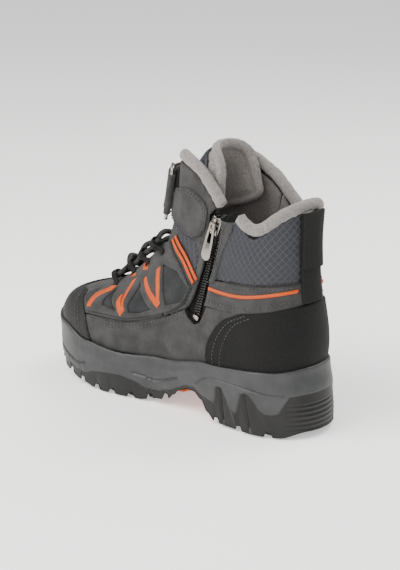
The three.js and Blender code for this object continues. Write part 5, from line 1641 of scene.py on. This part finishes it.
def build_laces(m):
    path = densify(centripetal(lace_route()), 0.8, closed=False)
    obj = tube("lace", path, 1.95, 18)
    finish_piece(obj, "boot", "lace", m["lace"], "lace")
    for name, side in (("medial", 1), ("lateral", -1)):
        for k, spot in enumerate(LOOP_SPOTS):
            ahead, before = LOOP_SPOTS[min(k + 1, 3)], LOOP_SPOTS[max(k - 1, 0)]
            run = np.array([0, *(ahead - before)])
            out = normal(*domain([spot], side).T)[0]
            at = basis_at(lay(*domain([spot], side).T, lace_height())[0] + (side * 0.8, 0, 0), run, out)
            outer, inner = [], []
            profile = [(-7.6, -3.9), (-5.6, -3.8), (-4.3, -2.6), *[(4.0 * math.cos(a), 4.0 * math.sin(a))
                       for a in np.linspace(math.pi * 0.94, math.pi * 0.06, 13)], (4.3, -2.6), (5.6, -3.8),
                       (7.6, -3.9)]
            profile = np.array(profile)
            centre = np.array([0, -1.4])
            inside = centre + (profile - centre) * np.clip(1 - 0.9 / np.linalg.norm(profile - centre, axis=1),
                                                           0, 1)[:, None]
            inside[[0, 1, -2, -1]] = profile[[0, 1, -2, -1]] - (0, 0.9)
            widths = np.linspace(-2.3, 2.3, 7)
            lift = 0.25 * (1 - (widths / 2.3) ** 4)
            for ring, bucket, sign in ((profile, outer, 1), (inside, inner, -1)):
                for width, raise_ in zip(widths, lift):
                    grow = ring * (1 + (raise_ * sign) / 6)
                    bucket += [(x, width, z) for x, z in grow]
            n = len(profile)
            faces = []
            for i in range(6):
                for j in range(n - 1):
                    a, b = i * n + j, (i + 1) * n + j
                    faces += [(a, b, b + 1), (a, b + 1, a + 1)]
            flat = np.array(outer)[:, :2]
            obj = thick_sheet(f"lace loop {name} {k + 1}", placed(np.array(outer), at),
                              placed(np.array(inner), at), faces, flat, True)
            face_outward(obj)
            finish_piece(obj, "boot", "black_webbing", m["webbing"], f"lace_loop_{name}_{k + 1}")


def build_heel_webbing(m):
    top_b = domain([(107, 148)])[0, 1]
    low_b = domain([COUNTER_BACK])[0, 1] + 0.004
    half = 10.0

    def back_face(x, b, t):
        q = np.zeros(len(x))
        trial = np.linspace(0, 0.25, 251)
        for level in np.unique(b):
            rows = b == level
            reach = form(trial, level)[:, 0] - ORIGIN[0]
            q[rows] = np.interp(np.abs(x[rows]), reach, trial)
        p = lay(q, b, t)
        return np.stack([x + ORIGIN[0], p[:, 1], p[:, 2]], axis=1)

    def strip(name, b0, b1, t, thick, rows):
        x, b = np.meshgrid(np.linspace(-half, half, 15), np.linspace(b0, b1, rows), indexing="ij")
        x, b = x.ravel(), b.ravel()
        edge = np.minimum(half - np.abs(x), 1.2)
        ribs = 0.22 * np.cos(x * math.pi * 2 / 3.3) * (np.abs(x) < half - 1)
        raised = t + ribs - 0.35 * (1 - edge / 1.2)
        raised = raised + 0.3 * np.sin(b * FLAT_V * 2 * math.pi / 2.1) * 0.25
        faces = []
        for i in range(14):
            for j in range(rows - 1):
                a, c = i * rows + j, (i + 1) * rows + j
                faces += [(a, c, c + 1), (a, c + 1, a + 1)]
        uv = np.stack([b * FLAT_V, x], axis=1)
        obj = thick_sheet(name, back_face(x, b, raised), back_face(x, b, np.full(len(x), t - thick)), faces,
                          uv, True)
        face_outward(obj)
        return obj

    obj = strip("backstay strip", low_b, top_b, OVER + 1.2, 1.2, 90)
    finish_piece(obj, "boot", "black_webbing", m["webbing"], "backstay_strip")
    foot_b = domain([(107, 112)])[0, 1]
    loop = strip("pull loop", foot_b, top_b + 0.012, OVER + 3.4, 2.2, 70)
    finish_piece(loop, "pull_loop", "black_webbing", m["webbing"], "pull_loop",
                 blend=("boot", "pull_loop", (0.001, 0.1024, 0.1495), (0.001, 0.1024, 0.144)))


# ---- stage ----------------------------------------------------------------------------------------------
def build_stage(light, warmth):
    """A pale flat floor, soft daylight from a large lamp with fill and rim lamps, and the camera."""
    material, tree, shader = surface("studio floor", Roughness=0.9, Base_Color=linear("#f4f4f3"),
                                     Emission_Color=linear("#ffffff"), Emission_Strength=0.5)
    floor = mesh_piece("floor", [(-2500, -2500, -0.3), (2500, -2500, -0.3), (2500, 2500, -0.3),
                                 (-2500, 2500, -0.3)],
                       [(0, 1, 2, 3)])
    floor.data.materials.append(material)
    world = bpy.context.scene.world or bpy.data.worlds.new("studio")
    bpy.context.scene.world = world
    world.use_nodes = True
    back = world.node_tree.nodes["Background"]
    back.inputs[0].default_value = linear("#f6f7f8")
    back.inputs[1].default_value = 0.6
    for name, kind, size, power, at in (("key lamp", "AREA", 0.9, light, (0.75, -0.35, 0.95)),
                                        ("fill lamp", "AREA", 1.2, light * 0.45, (0.9, 0.75, 0.6)),
                                        ("rim lamp", "AREA", 0.8, light * 0.5, (-0.7, 0.2, 0.9))):
        data = bpy.data.lights.new(name, kind)
        data.energy = power
        data.size = size
        data.color = (1.0, 1.0 - warmth * 0.04, 1.0 - warmth * 0.09)
        lamp = bpy.data.objects.new(name, data)
        bpy.context.scene.collection.objects.link(lamp)
        lamp.location = at
        lamp.rotation_euler = (Vector((0, 0, 0.08)) - Vector(at)).to_track_quat("-Z", "Y").to_euler()
    azimuth, elevation, distance = math.radians(132.35), math.radians(16.62), 1.10843
    target = Vector((0.001, -0.00349, 0.085))
    look = Vector((math.sin(azimuth) * math.cos(elevation), -math.cos(azimuth) * math.cos(elevation),
                   math.sin(elevation)))
    data = bpy.data.cameras.new("camera")
    data.lens = 100.96
    data.sensor_width = 36
    data.sensor_fit = "AUTO"
    data.shift_x = 0.0195
    data.shift_y = -0.0172
    camera = bpy.data.objects.new("camera", data)
    bpy.context.scene.collection.objects.link(camera)
    camera.location = target + look * distance
    camera.rotation_euler = (-look).to_track_quat("-Z", "Y").to_euler()
    bpy.context.scene.camera = camera


# ---- add-on ---------------------------------------------------------------------------------------------
_materials = {}


def materials():
    if not _materials:
        _materials.update(
            nubuck=nubuck("grey nubuck", "#2d2d2d", "#3a3a3a"),
            # The window underlay is the panels' nubuck drawn darker: the darker colour is painted shade in the
            # recessed windows.
            window=nubuck("grey nubuck underlay with painted shade", "#1f2021", "#2b2c2e"),
            toe_leather=coated_leather("grained coated leather", "#111110", "#1a1a19"),
            counter=linen_weave("rubberised canvas", "#080808", "#100f0f"),
            ripstop=ripstop("ripstop", "#242529", "#363941", 2.5),
            fleece=fleece("fleece", "#67635f", "#8c8784"),
            fleece_dark=fleece("fleece lining", "#4a4644", "#6a6663"),
            orange=moulded("orange trim", "#a53c00", "#b44600", 0.55, 0.00006),
            midsole=two_tone_sole("foam midsole", "#2d2e2f", "#363738", "#090908", "#10100f"),
            outsole=moulded("outsole rubber", "#0c0c0b", "#141413", 0.7, 0.00012),
            board=moulded("fibreboard", "#8d744e", "#9a815a", 0.85),
            webbing=ribbed_webbing("black webbing", "#0d0d0d", "#181818"),
            lace=braid("elastic lace", "#0d0d0d", "#4a4947"),
            nylon=moulded("zip nylon", "#0b0b0b", "#151515", 0.35, 0.00003),
            gunmetal=plated("gunmetal", "#8f8a83", 0.25),
            steel=plated("nickel-plated steel", "#c8c7c4", 0.15),
            # The thread is dark grey; it is drawn a little lighter than the leather, partly its own colour and
            # partly painted highlight on the raised stitches.
            thread=moulded("thread", "#3a3a3b", "#4a4a4b", 0.75, 0.0),
        )
    return _materials


class BootProperties(bpy.types.PropertyGroup):
    light: bpy.props.FloatProperty(
        name="Key light", description="Power of the large lamp beside the boot", default=24.0, min=0.0,
        max=200.0, unit="POWER")
    warmth: bpy.props.FloatProperty(
        name="Warmth", description="How warm the lamps are", default=0.6, min=0.0, max=2.0, subtype="FACTOR")


class BOOT_OT_upper(bpy.types.Operator):
    """Builds the upper's panels, overlays, piping and stitching"""
    bl_idname = "boot.upper"
    bl_label = "Upper"

    def execute(self, context):
        build_upper(materials())
        return {"FINISHED"}


class BOOT_OT_lining(bpy.types.Operator):
    """Builds the fleece lining, the rolls round the edges and the tongue"""
    bl_idname = "boot.lining"
    bl_label = "Lining"

    def execute(self, context):
        build_lining(materials())
        build_rolls(materials())
        build_tongue(materials())
        return {"FINISHED"}


class BOOT_OT_sole(bpy.types.Operator):
    """Builds the midsole, outsole, arch shank and insole"""
    bl_idname = "boot.sole"
    bl_label = "Sole"

    def execute(self, context):
        build_sole(materials())
        return {"FINISHED"}


class BOOT_OT_hardware(bpy.types.Operator):
    """Builds the zip, strap, ring, laces and heel webbing"""
    bl_idname = "boot.hardware"
    bl_label = "Fastenings"

    def execute(self, context):
        build_zip(materials())
        build_strap(materials())
        build_laces(materials())
        build_heel_webbing(materials())
        return {"FINISHED"}


class BOOT_OT_stage(bpy.types.Operator):
    """Builds the floor, lamps and camera"""
    bl_idname = "boot.stage"
    bl_label = "Stage"

    def execute(self, context):
        build_stage(context.scene.boot.light, context.scene.boot.warmth)
        return {"FINISHED"}


class BOOT_PT_panel(bpy.types.Panel):
    bl_label = "Winter hiking boot"
    bl_idname = "BOOT_PT_panel"
    bl_space_type = "VIEW_3D"
    bl_region_type = "UI"
    bl_category = "Boot"

    def draw(self, context):
        for name in ("light", "warmth"):
            self.layout.prop(context.scene.boot, name)
        for kind in OPERATORS:
            self.layout.operator(kind.bl_idname)


OPERATORS = (BOOT_OT_upper, BOOT_OT_lining, BOOT_OT_sole, BOOT_OT_hardware, BOOT_OT_stage)


def register():
    bpy.utils.register_class(BootProperties)
    for kind in OPERATORS:
        bpy.utils.register_class(kind)
    bpy.utils.register_class(BOOT_PT_panel)
    bpy.types.Scene.boot = bpy.props.PointerProperty(type=BootProperties)


def unregister():
    del bpy.types.Scene.boot
    bpy.utils.unregister_class(BOOT_PT_panel)
    for kind in reversed(OPERATORS):
        bpy.utils.unregister_class(kind)
    bpy.utils.unregister_class(BootProperties)


def main():
    register()
    bpy.ops.boot.upper()
    bpy.ops.boot.lining()
    bpy.ops.boot.sole()
    bpy.ops.boot.hardware()
    bpy.ops.boot.stage()


if __name__ == "__main__":
    main()
